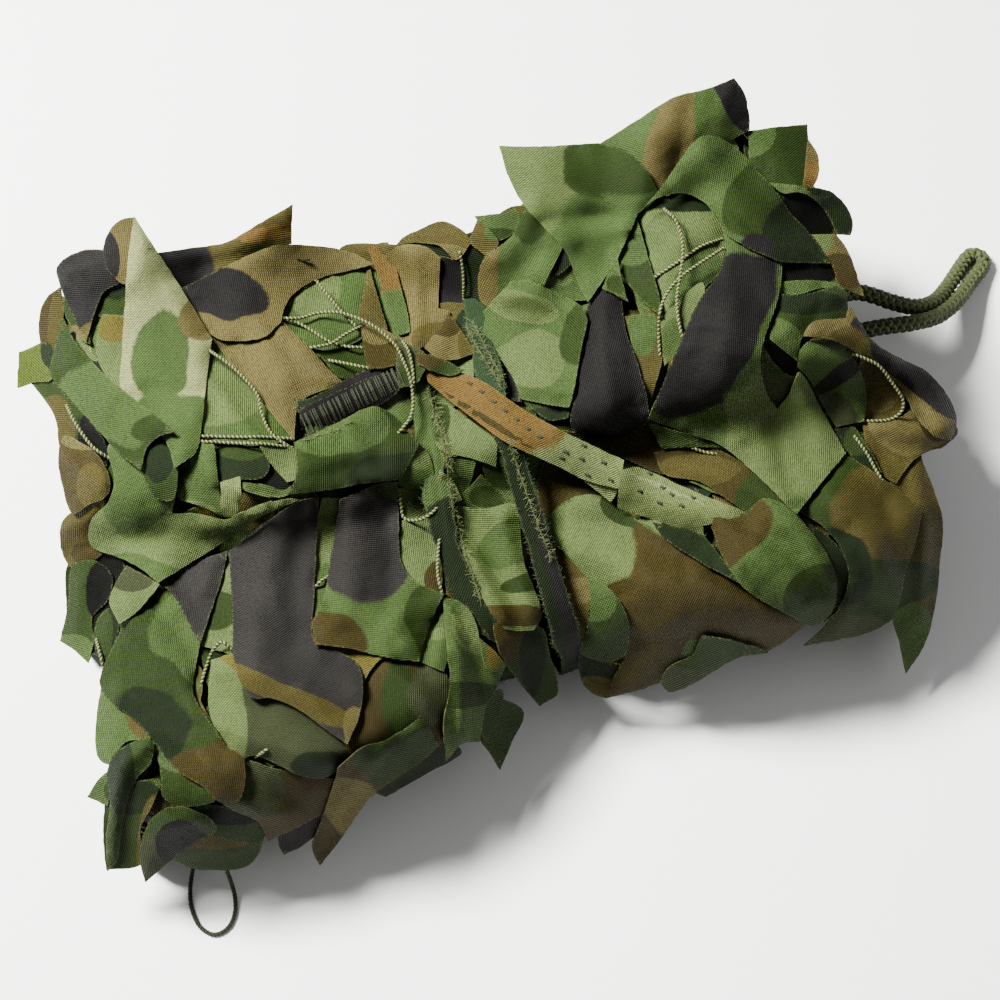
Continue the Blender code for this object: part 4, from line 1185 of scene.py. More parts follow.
class Wiring:
    """Adds nodes to a tree and joins them."""

    def __init__(self, tree):
        self.tree = tree

    def feed(self, socket, value):
        """Joins a socket to another, or sets it to a value."""
        if isinstance(value, bpy.types.NodeSocket):
            self.tree.links.new(value, socket)
        else:
            socket.default_value = value

    def node(self, kind, feeds=(), out=0, **settings):
        """A new node with these settings and these inputs fed, as one of its outputs."""
        made = self.tree.nodes.new(kind)
        for key, value in settings.items():
            setattr(made, key, value)
        for key, value in dict(feeds).items():
            self.feed(made.inputs[key], value)
        return made.outputs[out]

    def math(self, operation, *values):
        return self.node("ShaderNodeMath", dict(enumerate(values)), operation=operation)

    def plus(self, a, b):
        return self.math("ADD", a, b)

    def times(self, a, b):
        return self.math("MULTIPLY", a, b)

    def vector(self, operation, feeds):
        return self.node("ShaderNodeVectorMath", feeds, operation=operation)

    def ramp(self, value, low, high, to_low=0.0, to_high=1.0):
        ends = {"From Min": low, "From Max": high, "To Min": to_low, "To Max": to_high}
        return self.node("ShaderNodeMapRange", {"Value": value, **ends}, interpolation_type="SMOOTHSTEP")

    def mix(self, factor, a, b, blend="MIX"):
        a, b = ((*color, 1.0) if isinstance(color, tuple) else color for color in (a, b))
        return self.node("ShaderNodeMix", {0: factor, 6: a, 7: b}, 2, data_type="RGBA", blend_type=blend)

    def shaded(self, color, shade):
        """A colour made lighter or darker."""
        grey = self.node("ShaderNodeCombineColor", {0: shade, 1: shade, 2: shade})
        return self.mix(1.0, color, grey, "MULTIPLY")

    def noise(self, vector, scale, detail=2.0, rough=0.5, warp=0.0):
        return self.node("ShaderNodeTexNoise", {"Vector": vector, "Scale": scale, "Detail": detail,
                                                "Roughness": rough, "Distortion": warp}, "Fac")

    def attribute(self, name):
        return self.node("ShaderNodeAttribute", out="Fac", attribute_name=name)

    def own_place(self):
        return self.node("ShaderNodeTexCoord", out="Object")

    def group(self, tree, feeds):
        """A shader group with its inputs fed, as its outputs."""
        return self.node("ShaderNodeGroup", feeds, node_tree=tree).node.outputs

    def bump(self, height, strength, distance):
        return self.node("ShaderNodeBump", {"Height": height, "Strength": strength, "Distance": distance})


def new_tree(name, kind, ins, outs):
    """A new node tree with named inputs and outputs, the wiring to fill it, and its two ends."""
    tree = bpy.data.node_groups.new(name, kind + "NodeTree")
    for way, labels in (("INPUT", ins), ("OUTPUT", outs)):
        for label, form in labels.items():
            tree.interface.new_socket(label, in_out=way, socket_type="NodeSocket" + form)
    start = tree.nodes.new("NodeGroupInput")
    end = tree.nodes.new("NodeGroupOutput")
    return tree, Wiring(tree), start.outputs, end.inputs


def print_group():
    """Printed cloth: blots of further tones over a ground, with soft uneven edges where the ink runs out."""
    tree, w, ins, outs = new_tree("printed_tones", "Shader", {"Place": "Vector", "Blot edge": "Float"},
                                  {"Color": "Color"})
    wide = w.noise(ins["Place"], 60.0, detail=1.0, rough=0.4, warp=0.2)
    wander = w.times(w.math("SUBTRACT", wide, 0.5), 0.9)
    small = w.times(w.math("SUBTRACT", w.noise(ins["Place"], 900.0, rough=0.6), 0.5), 0.12)
    shift = w.plus(wander, small)
    color = None
    for tone, blot in zip(PRINT_TONES, (None, *PRINT_BLOTS)):
        found = w.node("ShaderNodeValToRGB", {"Fac": w.attribute(tone)})
        ramp = found.node.color_ramp
        ramp.interpolation = "CONSTANT"
        for k, value in enumerate(TONES.values()):
            stop = ramp.elements[k] if k < 2 else ramp.elements.new(k / len(TONES))
            stop.position = k / len(TONES)
            stop.color = (*value, 1.0)
        if blot:
            inside = w.plus(w.attribute(blot), shift)
            found = w.mix(w.ramp(inside, w.times(ins["Blot edge"], -1.0), ins["Blot edge"]), color, found)
        color = found
    w.feed(outs["Color"], color)
    return tree


def weave_group():
    """A fine twill: slanting ribs that break at each crossing thread, as a height and as a shade."""
    tree, w, ins, outs = new_tree("twill_weave", "Shader", {"Place": "Vector", "Rib pitch": "Float"},
                                  {"Height": "Float", "Shade": "Float"})
    x, y, _ = w.node("ShaderNodeSeparateXYZ", {0: ins["Place"]}).node.outputs
    turn = w.math("DIVIDE", math.tau, ins["Rib pitch"])
    sway = w.times(w.noise(ins["Place"], 130.0), 5.0)
    along = w.plus(w.times(w.plus(x, y), turn), sway)
    across = w.times(w.times(y, turn), 1.7)
    rib = w.math("MULTIPLY_ADD", w.math("SINE", along), 0.5, 0.5)
    cut = w.math("MULTIPLY_ADD", w.math("SINE", across), 0.42, 0.58)
    height = w.times(rib, cut)
    streak = w.noise(ins["Place"], 1250.0, rough=0.7)
    shade = w.plus(w.times(height, 1.5), w.times(streak, 1.5))
    w.feed(outs["Height"], height)
    w.feed(outs["Shade"], w.plus(shade, -0.30))
    return tree


def finish_material(name, gloss):
    """A material that reflects so much, with its wiring and its surface shader's inputs."""
    material = bpy.data.materials.new(name)
    material.use_nodes = True
    shader = material.node_tree.nodes["Principled BSDF"].inputs
    shader["Specular IOR Level"].default_value = gloss
    return material, Wiring(material.node_tree), shader


def cloth_material():
    """Printed cloth with a faint satin sheen, paler on its back and worn to bare thread at cut edges."""
    material, w, shader = finish_material("printed_cloth", gloss=0.045)
    where = w.node("ShaderNodeUVMap", uv_map="weave")
    color = w.group(printed_tones, {"Place": where, "Blot edge": 0.05})["Color"]
    weave = w.group(twill_weave, {"Place": where, "Rib pitch": 0.00092})
    color = w.mix(w.times(w.attribute("reverse"), 0.35), color, (0.09, 0.075, 0.022))
    cloudy = w.ramp(w.noise(where, 38.0, detail=3.0, rough=0.6), 0.3, 0.7, to_low=0.88, to_high=1.12)
    color = w.shaded(color, w.times(weave["Shade"], cloudy))
    hem = w.math("SUBTRACT", 1.0, w.ramp(w.attribute("rim"), 0.2, 2.2))
    hem = w.times(hem, w.ramp(w.noise(where, 1400.0, detail=1.0), 0.44, 0.66))
    w.feed(shader["Base Color"], w.mix(w.times(hem, 0.3), color, (0.08, 0.09, 0.035)))
    w.feed(shader["Roughness"], w.ramp(weave["Height"], 0.0, 1.0, to_low=0.62, to_high=0.46))
    crumple = w.noise(where, 210.0, detail=3.0, rough=0.55, warp=0.4)
    height = w.plus(w.times(weave["Height"], 0.28), w.times(crumple, 0.5))
    w.feed(shader["Normal"], w.bump(height, strength=0.75, distance=1.1 * MM))
    return material


def under_material():
    """The cloth inside the bundle, in the print's darker tones, kept dark partly as painted shade for the
    gaps between the leaves.
    """
    material, w, shader = finish_material("under_cloth", gloss=0.1)
    where = w.own_place()
    # The dark base is partly painted shade, for the gaps between the leaves.
    color = TONES["dark"]
    for tone, scale, warp, low, high in UNDER_BLOTS:
        color = w.mix(w.ramp(w.noise(where, scale, detail=1.0, warp=warp), low, high), color, TONES[tone])
    weave = w.group(twill_weave, {"Place": where, "Rib pitch": 0.0007})
    w.feed(shader["Base Color"], w.shaded(color, w.times(weave["Shade"], 0.8)))
    shader["Roughness"].default_value = 0.7
    crumple = w.noise(where, 60.0, detail=4.0, rough=0.6, warp=1.2)
    height = w.plus(w.times(weave["Height"], 0.15), w.times(crumple, 3.0))
    w.feed(shader["Normal"], w.bump(height, strength=0.9, distance=1.6 * MM))
    return material


def fibre_material(name, tone, other, fine):
    """Spun thread: fine flecks of two tones."""
    material, w, shader = finish_material(name, gloss=0.3)
    fleck = w.noise(w.own_place(), fine, rough=0.6)
    w.feed(shader["Base Color"], w.mix(w.ramp(fleck, 0.3, 0.7), tone, other))
    w.feed(shader["Roughness"], w.ramp(fleck, 0.2, 0.8, to_low=0.65, to_high=0.85))
    w.feed(shader["Normal"], w.bump(fleck, strength=0.5, distance=0.2 * MM))
    return material


printed_tones = print_group()
twill_weave = weave_group()
cloth = cloth_material()
under_cloth = under_material()
fibres = {name: fibre_material(name, *row) for name, row in FIBRES.items()}

# --- twine, braid and fray -----------------------------------------------------------------------

TWINE_NODE_STEP = 0.2 * MM
BRAID_NODE_STEP = 0.6 * MM
LOWEST_THREAD = 0.05 * MM


def growth_tree(name, *sizes):
    """A geometry tree with a path in and a shape out, and named sizes and finishes."""
    ins = {label: "Material" if label.endswith("finish") else "Float" for label in sizes}
    tree, w, start, end = new_tree(name, "Geometry", {"Path": "Geometry", **ins}, {"Shape": "Geometry"})
    return tree, w, start, end[0], w.node("GeometryNodeMeshToCurve", {0: start["Path"]})


def tube(w, path, radius, sides):
    """A round tube along a path."""
    ring = w.node("GeometryNodeCurvePrimitiveCircle", {"Resolution": sides, "Radius": radius})
    return w.node("GeometryNodeCurveToMesh", {"Curve": path, "Profile Curve": ring, "Fill Caps": True})


def finished(w, shape, finish):
    return w.node("GeometryNodeSetMaterial", {"Geometry": shape, "Material": finish})


def wound_strand(w, path, angle, out, radius, sides, finish):
    """One strand that winds round the path: at that angle, that far out, with that thickness."""
    normal = w.node("GeometryNodeInputNormal")
    cross = w.vector("CROSS_PRODUCT", {0: w.node("GeometryNodeInputTangent"), 1: normal})
    shares = [w.vector("SCALE", {0: way, "Scale": w.times(w.math(wave, angle), out)})
              for way, wave in ((normal, "COSINE"), (cross, "SINE"))]
    shift = w.vector("ADD", dict(enumerate(shares)))
    moved = w.node("GeometryNodeSetPosition", {"Geometry": path, "Offset": shift})
    return finished(w, tube(w, moved, radius, sides), finish)


def even_path(w, curve, pitch, step):
    """The path as even steps, and how far round the twist each point is."""
    even = w.node("GeometryNodeResampleCurve", {"Curve": curve, "Length": step}, mode="LENGTH")
    run = w.node("GeometryNodeSplineParameter", out="Length")
    return even, w.times(w.math("DIVIDE", run, pitch), math.tau)


def joined(w, shapes, end):
    """All the shapes as one, with their instances made real."""
    join = w.node("GeometryNodeJoinGeometry")
    for shape in shapes:
        w.feed(join.node.inputs[0], shape)
    w.feed(end, w.node("GeometryNodeRealizeInstances", {0: join}))


def twine_tree():
    """A pale ply and a dark one, laid round each other."""
    tree, w, ins, end, curve = growth_tree("laid_twine", "Ply radius", "Ply offset", "Pitch", "Pale finish",
                                           "Dark finish")
    path, turn = even_path(w, curve, ins["Pitch"], TWINE_NODE_STEP)
    plies = [wound_strand(w, path, w.plus(turn, angle), ins["Ply offset"], ins["Ply radius"], 5, ins[finish])
             for angle, finish in ((0.0, "Pale finish"), (math.pi, "Dark finish"))]
    joined(w, plies, end)
    return tree


def braid_tree():
    """Eight strands, four each way round, each over one and under one, on a plain core."""
    tree, w, ins, end, curve = growth_tree("round_braid", "Braid radius", "Strand radius", "Rise", "Pitch",
                                           "Core radius", "Strand finish", "Core finish")
    path, turn = even_path(w, curve, ins["Pitch"], BRAID_NODE_STEP)
    wave = w.times(w.math("COSINE", w.times(turn, 4.0)), ins["Rise"])
    strands = []
    for k in range(4):
        for way in (1.0, -1.0):
            angle = w.plus(w.times(turn, way), k * math.pi / 2)
            out = w.plus(ins["Braid radius"], w.times(wave, way))
            strands.append(wound_strand(w, path, angle, out, ins["Strand radius"], 6, ins["Strand finish"]))
    strands.append(finished(w, tube(w, path, ins["Core radius"], 8), ins["Core finish"]))
    joined(w, strands, end)
    return tree


def fray_tree():
    """Loose ends of thread that stand off a cut edge at uneven angles."""
    tree, w, ins, end, curve = growth_tree("cut_fray", "Spacing", "Length", "Radius", "Seed", "Thread finish")
    dots = w.node("GeometryNodeCurveToPoints", {"Curve": curve, "Length": ins["Spacing"]}, mode="LENGTH")
    thread = w.node("GeometryNodeCurvePrimitiveBezierSegment", {
        "Resolution": 3, "Start": (0, 0, -0.15), "Start Handle": (0.1, 0, 0.25),
        "End Handle": (0.1, 0.08, 0.6), "End": (-0.12, 0.2, 1.0)})
    thick = 0.05
    seed = w.math("ROUND", ins["Seed"])
    twist = w.node("FunctionNodeRandomValue", {0: (-2.1, -2.1, -3.1), 1: (2.1, 2.1, 3.1), "Seed": seed},
                   data_type="FLOAT_VECTOR")
    size = w.node("FunctionNodeRandomValue", {2: 0.35, 3: 1.0, "Seed": w.plus(seed, 7.0)}, 1,
                  data_type="FLOAT")
    wide = w.math("DIVIDE", ins["Radius"], thick)
    scale = w.node("ShaderNodeCombineXYZ", {0: wide, 1: wide, 2: w.times(size, ins["Length"])})
    spread = w.node("GeometryNodeInstanceOnPoints", {"Points": dots, "Instance": tube(w, thread, thick, 3),
                                                     "Rotation": twist, "Scale": scale})
    w.feed(end, finished(w, w.node("GeometryNodeRealizeInstances", {0: spread}), ins["Thread finish"]))
    return tree


def grow(name, runs, tree, **sizes):
    """Runs a geometry tree over lines of points and keeps the result as a plain mesh off the floor."""
    starts = np.cumsum([0] + [len(run) for run in runs]).tolist()
    edges = [(a + i, a + i + 1) for a, run in zip(starts, runs) for i in range(len(run) - 1)]
    held = placed(name + "_path", mesh_of(name + "_path", np.vstack(runs).tolist(), edges, []))
    modifier = held.modifiers.new("grow", "NODES")
    modifier.node_group = tree
    for item in tree.interface.items_tree:
        key = item.name.lower().replace(" ", "_")
        if item.in_out == "INPUT" and key in sizes:
            modifier[item.identifier] = sizes[key]
    piece = kept(held, name)
    p = read(piece.data.vertices, "co")
    p[:, 2] = np.maximum(p[:, 2], LOWEST_THREAD)
    piece.data.vertices.foreach_set("co", p.ravel())
    return piece


# --- leaves that show from above -----------------------------------------------------------------

bundle = shell_of(nodes["net_bundle"].data)
tape = shell_of(nodes["tie_tape"].data)
over = Sight(*CAMERA_VIEW, tree_of(bundle))
# The cells in which the shown leaves are told from what lies round them, in places of the frame.
FINE = 4.0


def loose_outline(draw, x, y, size):
    """A cut leaf of uneven outline: some of its corners sharp, the rest round."""
    count = int(draw.integers(*LOOSE_POINTS))
    turn = draw.uniform(0, math.pi)
    stretch = draw.uniform(*LOOSE_STRETCH)
    rows = []
    for k in range(count):
        a = k / count * math.tau + draw.uniform(*LOOSE_STRAY)
        r = size * draw.uniform(*LOOSE_REACH)
        u = r * math.cos(a)
        v = r * math.sin(a) * stretch
        sharp = float(draw.random() < LOOSE_CORNERS)
        rows.append((x + u * math.cos(turn) - v * math.sin(turn), y + u * math.sin(turn) + v * math.cos(turn),
                     sharp, draw.uniform(*LOOSE_RAISED) if sharp else 0.0))
    return np.array(rows)


def random_print(draw):
    """Tones and blots for a leaf that isn't laid out by hand."""
    blots = []
    for _ in range(LOOSE_BLOTS):
        shares = [f"{draw.uniform(*ends):.2f}" for ends in BLOT_SHARES]
        blots.append(" ".join([*shares, f"{draw.uniform(*BLOT_TURNS):.0f}"]))
    return LOOSE_TONES[int(draw.integers(len(LOOSE_TONES)))], "; ".join(blots)


def scattered(draw, sight, apart):
    """Places spread at random over what a sight sees of the bundle, that far apart."""
    rows, cols = np.nonzero(sight.met)
    spots = np.stack([cols, rows], -1) * Sight.CELL
    draw.shuffle(spots)
    taken = np.zeros((0, 2))
    for spot in spots:
        if not len(taken) or np.linalg.norm(taken - spot, axis=1).min() > apart:
            taken = np.vstack([taken, spot])
    return taken


def open_round(outlines):
    """The cells of the frame that lie round the outlines, not in them nor in a gap between them."""
    x, y = cell_places(FINE)
    clear = np.ones(x.shape, bool)
    for rows in outlines:
        ring = smooth_ring(rows)
        low, high = ring[:, :2].min(0), ring[:, :2].max(0)
        near = (x >= low[0]) & (x <= high[0]) & (y >= low[1]) & (y <= high[1])
        clear[near] &= ~within(ring, np.stack([x[near], y[near]], -1))[0]
    around = np.zeros(x.shape, bool)
    around[[0, -1]] = True
    around[:, [0, -1]] = True
    while True:
        grown = clear & (around | np.any(nine(around, False)[1::2], axis=0))
        if (grown == around).all():
            return around
        around = grown


def cells_of(points):
    """The fine cells of the frame that points fall in."""
    x, y = np.clip(np.round(over.place_of(points) / FINE).astype(int), 0, len(outside) - 1).T
    return y, x


def beyond(points):
    """Whether any point lies past the bundle's leaves as the camera sees them."""
    return outside[cells_of(points)].any()


def blocks_view(points):
    """Whether a hidden leaf would stand out past the bundle or over the leaves that show."""
    cells = cells_of(points)
    past = outside[cells].any() or (points < room[0]).any() or (points > room[1]).any()
    return past or (np.linalg.norm(points - over.eye, axis=1) < cover[cells] - VIEW_SLACK).any()


shown = leaf_rows(LEAVES)
outside = open_round([row[4] for row in shown.values()])
leaves = Heap("net_leaves_top")
pile = Pile()
draw = np.random.default_rng(UNDER_SEED)
for spot in scattered(draw, over, UNDER_APART):
    tones, blots = random_print(draw)
    rows = loose_outline(draw, *spot, draw.uniform(*UNDER_SIZES))
    leaf(leaves, over, pile, rows, UNDER_LEVEL, 0.0, tones, blots, int(draw.integers(SEEDS)), beyond)
for name, (level, crown, tones, blots, rows, creases) in sorted(shown.items(), key=lambda item: item[1][0]):
    leaf(leaves, over, pile, rows, level, crown * CROWN, tones, blots, seed_of(name), None, creases)
leaves_piece = leaves.build()
cover = reach_of(tree_of(leaves.shell()), over.eye, over.lines(*cell_places(FINE)))
cover = np.max(nine(np.nan_to_num(cover), 0.0), axis=0)
room = np.array(first_bounds[0]) - ROOM_BELOW, np.array(first_bounds[1]) + ROOM_ABOVE

# --- the folded mass under the leaves ------------------------------------------------------------


def drawn_in(p, mesh):
    """The mass's points, those that would show past the leaves drawn in towards its middle."""
    middle = np.stack([np.clip(p[:, 0], *MASS_ENDS), np.zeros(len(p)), np.full(len(p), MASS_MIDDLE)], -1)
    way = (middle - p) / np.linalg.norm(middle - p, axis=1, keepdims=True)
    near = outside
    for _ in range(BEHIND_CELLS):
        near = np.any(nine(near, False), axis=0)
    far = np.zeros(len(p))
    for _ in range(DRAWN_IN_STEPS):
        far[near[cells_of(p + way * far[:, None])]] += DRAWN_IN_STEP
    a, b = read(mesh.edges, "vertices", 2, np.int32).T
    count = np.maximum(np.bincount(np.concatenate([a, b]), minlength=len(p)), 1)
    for _ in range(DRAWN_IN_SPREAD):
        total = np.bincount(a, far[b], len(p)) + np.bincount(b, far[a], len(p))
        far = np.maximum(far, total / count * DRAWN_IN_FADE)
    return p + way * far[:, None]


def folded_mass():
    """The folded cloth below the leaves: the bundle's own folds, a little in from its surface."""
    form = placed("bundle_form", mesh_of("bundle_form", bundle[0].tolist(), [], bundle[1]))
    even = form.modifiers.new("even", "REMESH")
    even.mode = "VOXEL"
    even.voxel_size = MASS_STEP
    soft = form.modifiers.new("soft", "SMOOTH")
    soft.factor = 0.5
    soft.iterations = MASS_SOFTENING
    mass = kept(form, "folded_mass")
    mesh = mass.data
    p = drawn_in(read(mesh.vertices, "co") - read(mesh.vertices, "normal") * MASS_INSET_MM * MM, mesh)
    p[:, 2] = np.maximum(p[:, 2], MASS_LOWEST)
    mesh.vertices.foreach_set("co", p.ravel())
    mesh.materials.clear()
    mesh.materials.append(under_cloth)
    mesh.update()
    return mass


mass = folded_mass()

# --- leaves on the hidden sides ------------------------------------------------------------------

mass_tree = tree_of(shell_of(mass.data))
hidden = []
for side, (azimuth, elevation) in SIDES.items():
    draw = np.random.default_rng(seed_of(side))
    sight = Sight(azimuth, elevation, SIDE_TARGET, (MIDDLE, MIDDLE), mass_tree)
    heap = Heap("net_leaves_" + side)
    pile = Pile()
    for spot in scattered(draw, sight, SIDE_APART):
        tones, blots = random_print(draw)
        outline = loose_outline(draw, *spot, draw.uniform(*SIDE_SIZES))
        for shrink, stand in SIDE_TRIES:
            rows = outline.copy()
            rows[:, :2] = spot + (rows[:, :2] - spot) * shrink
            rows[:, 3] *= stand
            level = draw.uniform(0, SIDE_LEVELS) * stand
            crown = draw.uniform(0, SIDE_CROWN) * stand
            seed = int(draw.integers(SEEDS))
            if leaf(heap, sight, pile, rows, level, crown, tones, blots, seed, blocks_view):
                break
    hidden.append(heap.build())

# --- the tie tape --------------------------------------------------------------------------------

tape_tree = tree_of(tape)


def wrap_path(plane, line):
    """The middle of one turn of tape round the waist."""
    centre, rise, tilt = map(float, plane.split())
    seen = places_of(line)
    angles = np.arange(WRAP_WAYS) / WRAP_WAYS * math.tau
    ways = [Vector((0.0, math.cos(angle), math.sin(angle))) for angle in angles]
    across = [(centre + rise * way.z + tilt * way.y) * MM for way in ways]
    far = []
    for x, way in zip(across, ways):
        starts = [Vector((x + shift * MM, 0.0, WRAP_MIDDLE)) + way * WRAP_REACH for shift in WRAP_SHIFTS]
        met = [tape_tree.ray_cast(start, -way)[3] for start in starts]
        far.append(max([WRAP_REACH - gap for gap in met if gap is not None], default=np.nan))
    far = np.where(np.isnan(far), np.nanmedian(far), far)
    for pick in (np.min, np.max):
        far = pick([np.roll(far, k) for k in WRAP_EVENING], axis=0)
    path = np.array([(x, way.y * reach, WRAP_MIDDLE + way.z * reach)
                     for x, way, reach in zip(across, ways, far)])
    for p, way in zip(path, ways):
        x, y = over.place_of(p)
        if way.z > WRAP_LOWEST_SEEN and seen[0, 1] - WRAP_ROOM <= y <= seen[-1, 1] + WRAP_ROOM:
            wanted = np.interp(y, seen[:, 1], seen[:, 0])
            p[0] += (wanted - x) / PLACES_PER_METRE / math.cos(math.radians(CAMERA_AZIMUTH))
    for _ in range(WRAP_SMOOTHING):
        path = (np.roll(path, 1, 0) + 2 * path + np.roll(path, -1, 0)) / 4
    return path


def ribbon(heap, path, half, seed, tint):
    """A strip of folded tape along a closed path, with uneven edges and long pleats. Gives its edges."""
    n = len(path)
    draw = np.random.default_rng(seed)
    ahead = np.roll(path, -1, 0) - np.roll(path, 1, 0)
    ahead /= np.linalg.norm(ahead, axis=1, keepdims=True)
    out = path - path.mean(0)
    out[:, 0] = 0
    out -= (out * ahead).sum(1, keepdims=True) * ahead
    out /= np.linalg.norm(out, axis=1, keepdims=True)
    side = np.cross(ahead, out)
    side *= np.sign(side[:, :1])
    i, j = (cut.ravel() for cut in np.meshgrid(np.arange(n), np.arange(RIBBON_CUTS), indexing="ij"))
    u = run_of(path)[i] / MM
    v = np.linspace(-1, 1, RIBBON_CUTS)[j]
    jag = JAG_SHARE * draw.normal(0, 1, n)[i] * np.abs(v)
    wide = half * MM * (1 + WANDER_SHARE * ripple(u, v * 0 + seed, WANDER_SIZE, 3.0) + jag)
    along, across = PLEAT_STRETCH
    pleat = PLEAT_RISE * np.abs(ripple(u * along, v * across, PLEAT_SIZE, seed + 1.0))
    wrinkle = WRINKLE_RISE * ripple(u, v * WRINKLE_STRETCH, WRINKLE_SIZE, seed + 2.0)
    rise = RIBBON_LIFT + (pleat + wrinkle + RIBBON_BULGE * (1 - v**2)) * MM
    points = path[i] + side[i] * (v * wide)[:, None] + out[i] * rise[:, None]
    points[:, 2] = np.maximum(points[:, 2], RIBBON_LOWEST)
    a, c = (cut.ravel() for cut in np.meshgrid(np.arange(n), np.arange(RIBBON_CUTS - 1), indexing="ij"))
    here, there = a * RIBBON_CUTS + c, (a + 1) % n * RIBBON_CUTS + c
    triangles = np.vstack([np.stack([here, here + 1, there + 1], -1), np.stack([here, there + 1, there], -1)])
    triangles, normals = faced(points, triangles, out[i])
    printed = tint(over.place_of(points)[:, 1], v, u, (normals @ over.back) > LEAST_FACING)
    gap = (1 - np.abs(v)) * half * RIBBON_RIM_PER_MM
    values = np.hstack([np.stack([u * MM, v * half * MM], -1), printed, gap[:, None]])
    heap.add(points, triangles, normals, LOWEST_THREAD, values)
    grid = points.reshape(n, RIBBON_CUTS, 3)
    return [grid[:, 0], grid[:, -1]]


def tint_rows(tones, *fields):
    """Print values from four tones and three fields."""
    return np.stack([np.full(len(fields[0]), tone_number(tone)) for tone in tones.split()] + list(fields), -1)


def left_tint(y, v, u, facing):
    """Rust where it goes over the back, then green, then dark below the knot."""
    rust = np.where(facing, (RUST_END - y) / RUST_FADE, NO_BLOT)
    dark = np.where(facing, (y - KNOT) / DARK_FADE + v * DARK_TILT, DARK_AWAY)
    mid = NO_BLOT + MID_RISE * (np.sin(u / MID_SIZE) > MID_LEAST)
    return tint_rows("green orange dark mid", rust, dark, mid)


def right_tint(y, v, u, facing):
    """Dark green, with black along its right half below the knot."""
    near_edge = np.minimum(v * BLACK_TILT + BLACK_SHIFT, (y - KNOT) / BLACK_FADE)
    black = np.where(facing, near_edge, np.sin(u / BLACK_SIZE) * BLACK_AWAY)
    light = np.where(facing, (LIGHT_END - y) / LIGHT_FADE - LIGHT_SHIFT - v * LIGHT_TILT, NO_BLOT)
    return tint_rows("dark black teal mid", black, light, np.full(len(y), NO_BLOT))


tie = Heap("tie_tape_cloth")
edges = []
for (name, plane, half, line), tint in zip(rows_of(WRAPS), (left_tint, right_tint)):
    edges += ribbon(tie, wrap_path(plane, line), float(half), seed_of(name) % RIBBON_SEEDS, tint)
over_tape = Sight(*CAMERA_VIEW, tree_of(tape, tie.shell()))
pile = Pile()
for name, (level, crown, tones, blots, rows, _) in leaf_rows(TAPE_LEAVES).items():
    leaf(tie, over_tape, pile, rows, level, crown, tones, blots, seed_of(name))
tie_piece = tie.build()

# --- twines, rope, ribs, stitches and fray -------------------------------------------------------

cloth_tree = tree_of(leaves.shell(), tie.shell(), bundle)


def laid(places, tuck=TUCK):
    """A twine that lies on the cloth below it, drawn straight over pits, with its ends tucked under."""
    q = smooth_line(places, TWINE_STEP)
    d = over.lines(*q.T)
    far = reach_of(cloth_tree, over.eye, d)
    far = np.where(np.isnan(far), np.nanmedian(far), far)
    run = run_of(q) / PLACES_PER_METRE
    near = (far[None] + np.abs(run[:, None] - run[None]) * TWINE_SLOPE).min(1)
    for _ in range(TWINE_EVENING):
        near[1:-1] = np.minimum(near[1:-1], (near[:-2] + 2 * near[1:-1] + near[2:]) / 4)
    ends = np.minimum(run, run[-1] - run)
    near = near - TWINE_SINK + tuck * np.clip(1 - ends / TUCK_REACH, 0, 1)
    return over.eye + d * near[:, None]


def laid_twine(name, runs):
    """A twine of two plies along each run."""
    radius, offset, pitch, thread = TWINE_SIZES[name]
    return grow(name, runs, twine, ply_radius=radius * MM, ply_offset=offset * MM, pitch=pitch * MM,
                pale_finish=fibres[thread], dark_finish=fibres["dark_thread"])


twine = twine_tree()
fray = fray_tree()
rope_path = smooth_line(places_of(ROPE_LOOP), ROPE_STEP_MM) * MM
corner_path = smooth_line(places_of(CORNER_LOOP), CORNER_STEP_MM) * MM
rib_steps = [k + RIB_SHIFT * math.sin(k * RIB_TURN) for k in range(RIBS)]
rib_spots = [RIB_START + (RIB_END - RIB_START) * step / (RIBS - 1) for step in rib_steps]
twines = laid_twine("mesh_twine", [laid(places_of(line)) for _, line in rows_of(TWINES)])
rope = grow("braided_loop", [rope_path], braid_tree(), strand_finish=fibres["rope_yarn"],
            core_finish=fibres["rope_core"], **{size: value * MM for size, value in BRAID_MM.items()})
corner = laid_twine("corner_twine", [corner_path])
strap_ribs = laid_twine("strap_ribs", [laid(spot + RIB_ENDS, RIB_TUCK) for spot in rib_spots])
stitches = laid_twine("tape_stitches", [laid(spot + STITCH_ENDS, RIB_TUCK) for spot in places_of(STITCHES)])
fringes = [laid(places_of(line), 0.0) for line in FRINGES]
tape_fray = grow("tape_fray", edges + fringes, fray, thread_finish=fibres["cut_thread"], **TAPE_FRAY)
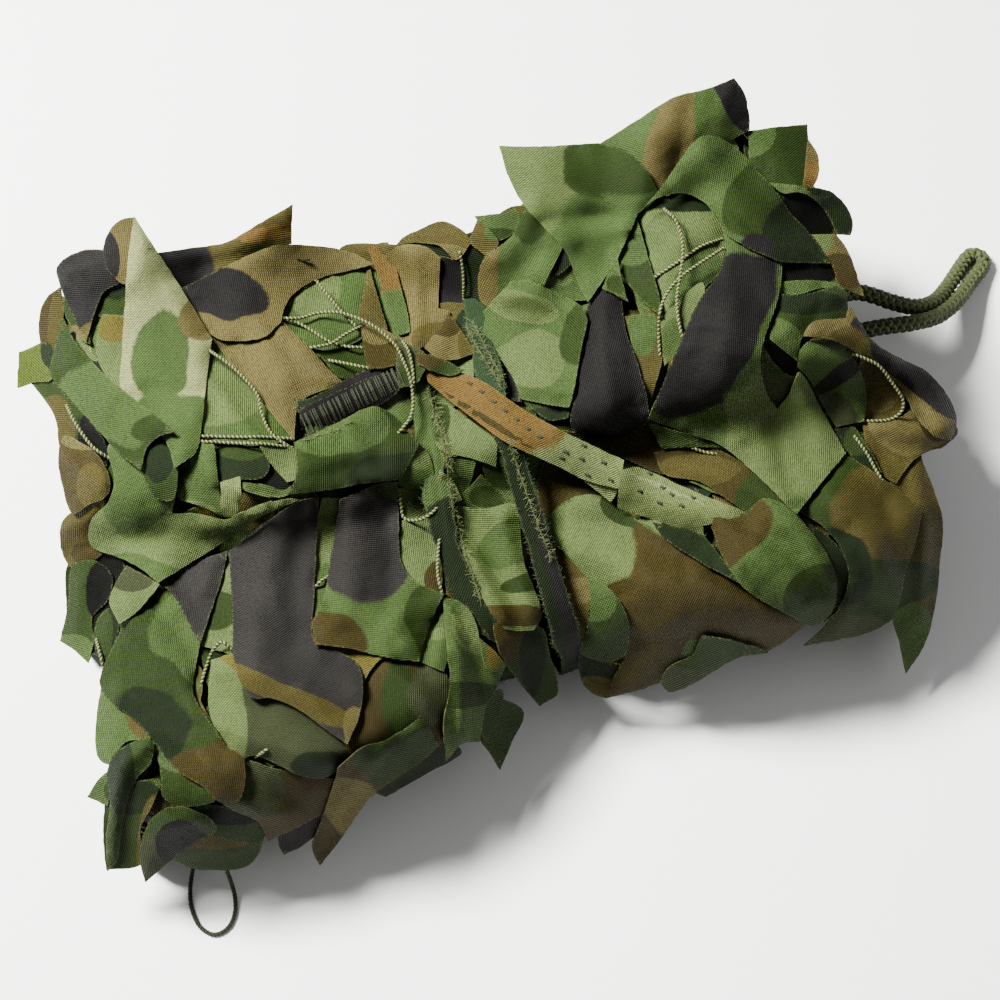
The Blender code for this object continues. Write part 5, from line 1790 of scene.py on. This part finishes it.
pale_fray = grow("pale_fray", fringes, fray, thread_finish=fibres["fray_thread"], **PALE_FRAY)

# --- floor, light and camera ---------------------------------------------------------------------

LIGHT_AIM = (0.0, 0.0, 0.03)


def soft_light(name, place, size, power, color):
    """A soft square light that faces the bundle."""
    lamp = bpy.data.lights.new(name, "AREA")
    lamp.energy = power
    lamp.size = size
    lamp.color = color
    held = placed(name, lamp)
    held.location = place
    held.rotation_euler = (Vector(LIGHT_AIM) - Vector(place)).to_track_quat("-Z", "Y").to_euler()


def studio():
    """A pale floor, soft studio light and the camera."""
    bpy.ops.mesh.primitive_plane_add(size=60.0, location=(0.0, 0.0, 0.0))
    floor = bpy.context.object
    floor.name = "floor"
    paper, _, shader = finish_material("floor_paper", gloss=0.1)
    shader["Base Color"].default_value = (0.78, 0.78, 0.78, 1.0)
    shader["Roughness"].default_value = 0.9
    floor.data.materials.append(paper)
    world = bpy.data.worlds.new("studio")
    world.use_nodes = True
    sky = world.node_tree.nodes["Background"].inputs
    sky["Color"].default_value = (1.0, 1.0, 1.0, 1.0)
    sky["Strength"].default_value = 0.30
    bpy.context.scene.world = world
    soft_light("key_light", place=(-0.46, 0.40, 0.98), size=0.30, power=105.0, color=(1.0, 0.985, 0.95))
    soft_light("fill_light", place=(0.75, -0.55, 0.8), size=1.0, power=2.0, color=(1.0, 1.0, 1.0))
    lens = bpy.data.cameras.new("camera")
    lens.lens = CAMERA_LENS
    lens.sensor_width = CAMERA_SENSOR
    lens.sensor_fit = "HORIZONTAL"
    lens.clip_start = 0.05
    lens.clip_end = 20.0
    held = placed("camera", lens)
    turn = Matrix((over.right, over.up, over.back)).transposed().to_4x4()
    turn.translation = Vector(over.eye)
    held.matrix_world = turn
    bpy.context.scene.camera = held


studio()
for piece in (leaves_piece, *hidden, mass, tie_piece, twines, rope, corner, tape_fray, pale_fray, strap_ribs,
              stitches):
    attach(piece, BODY)
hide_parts("net_bundle")
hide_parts("tie_tape")
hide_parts("edge_rope_loop")
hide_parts("corner_loop")
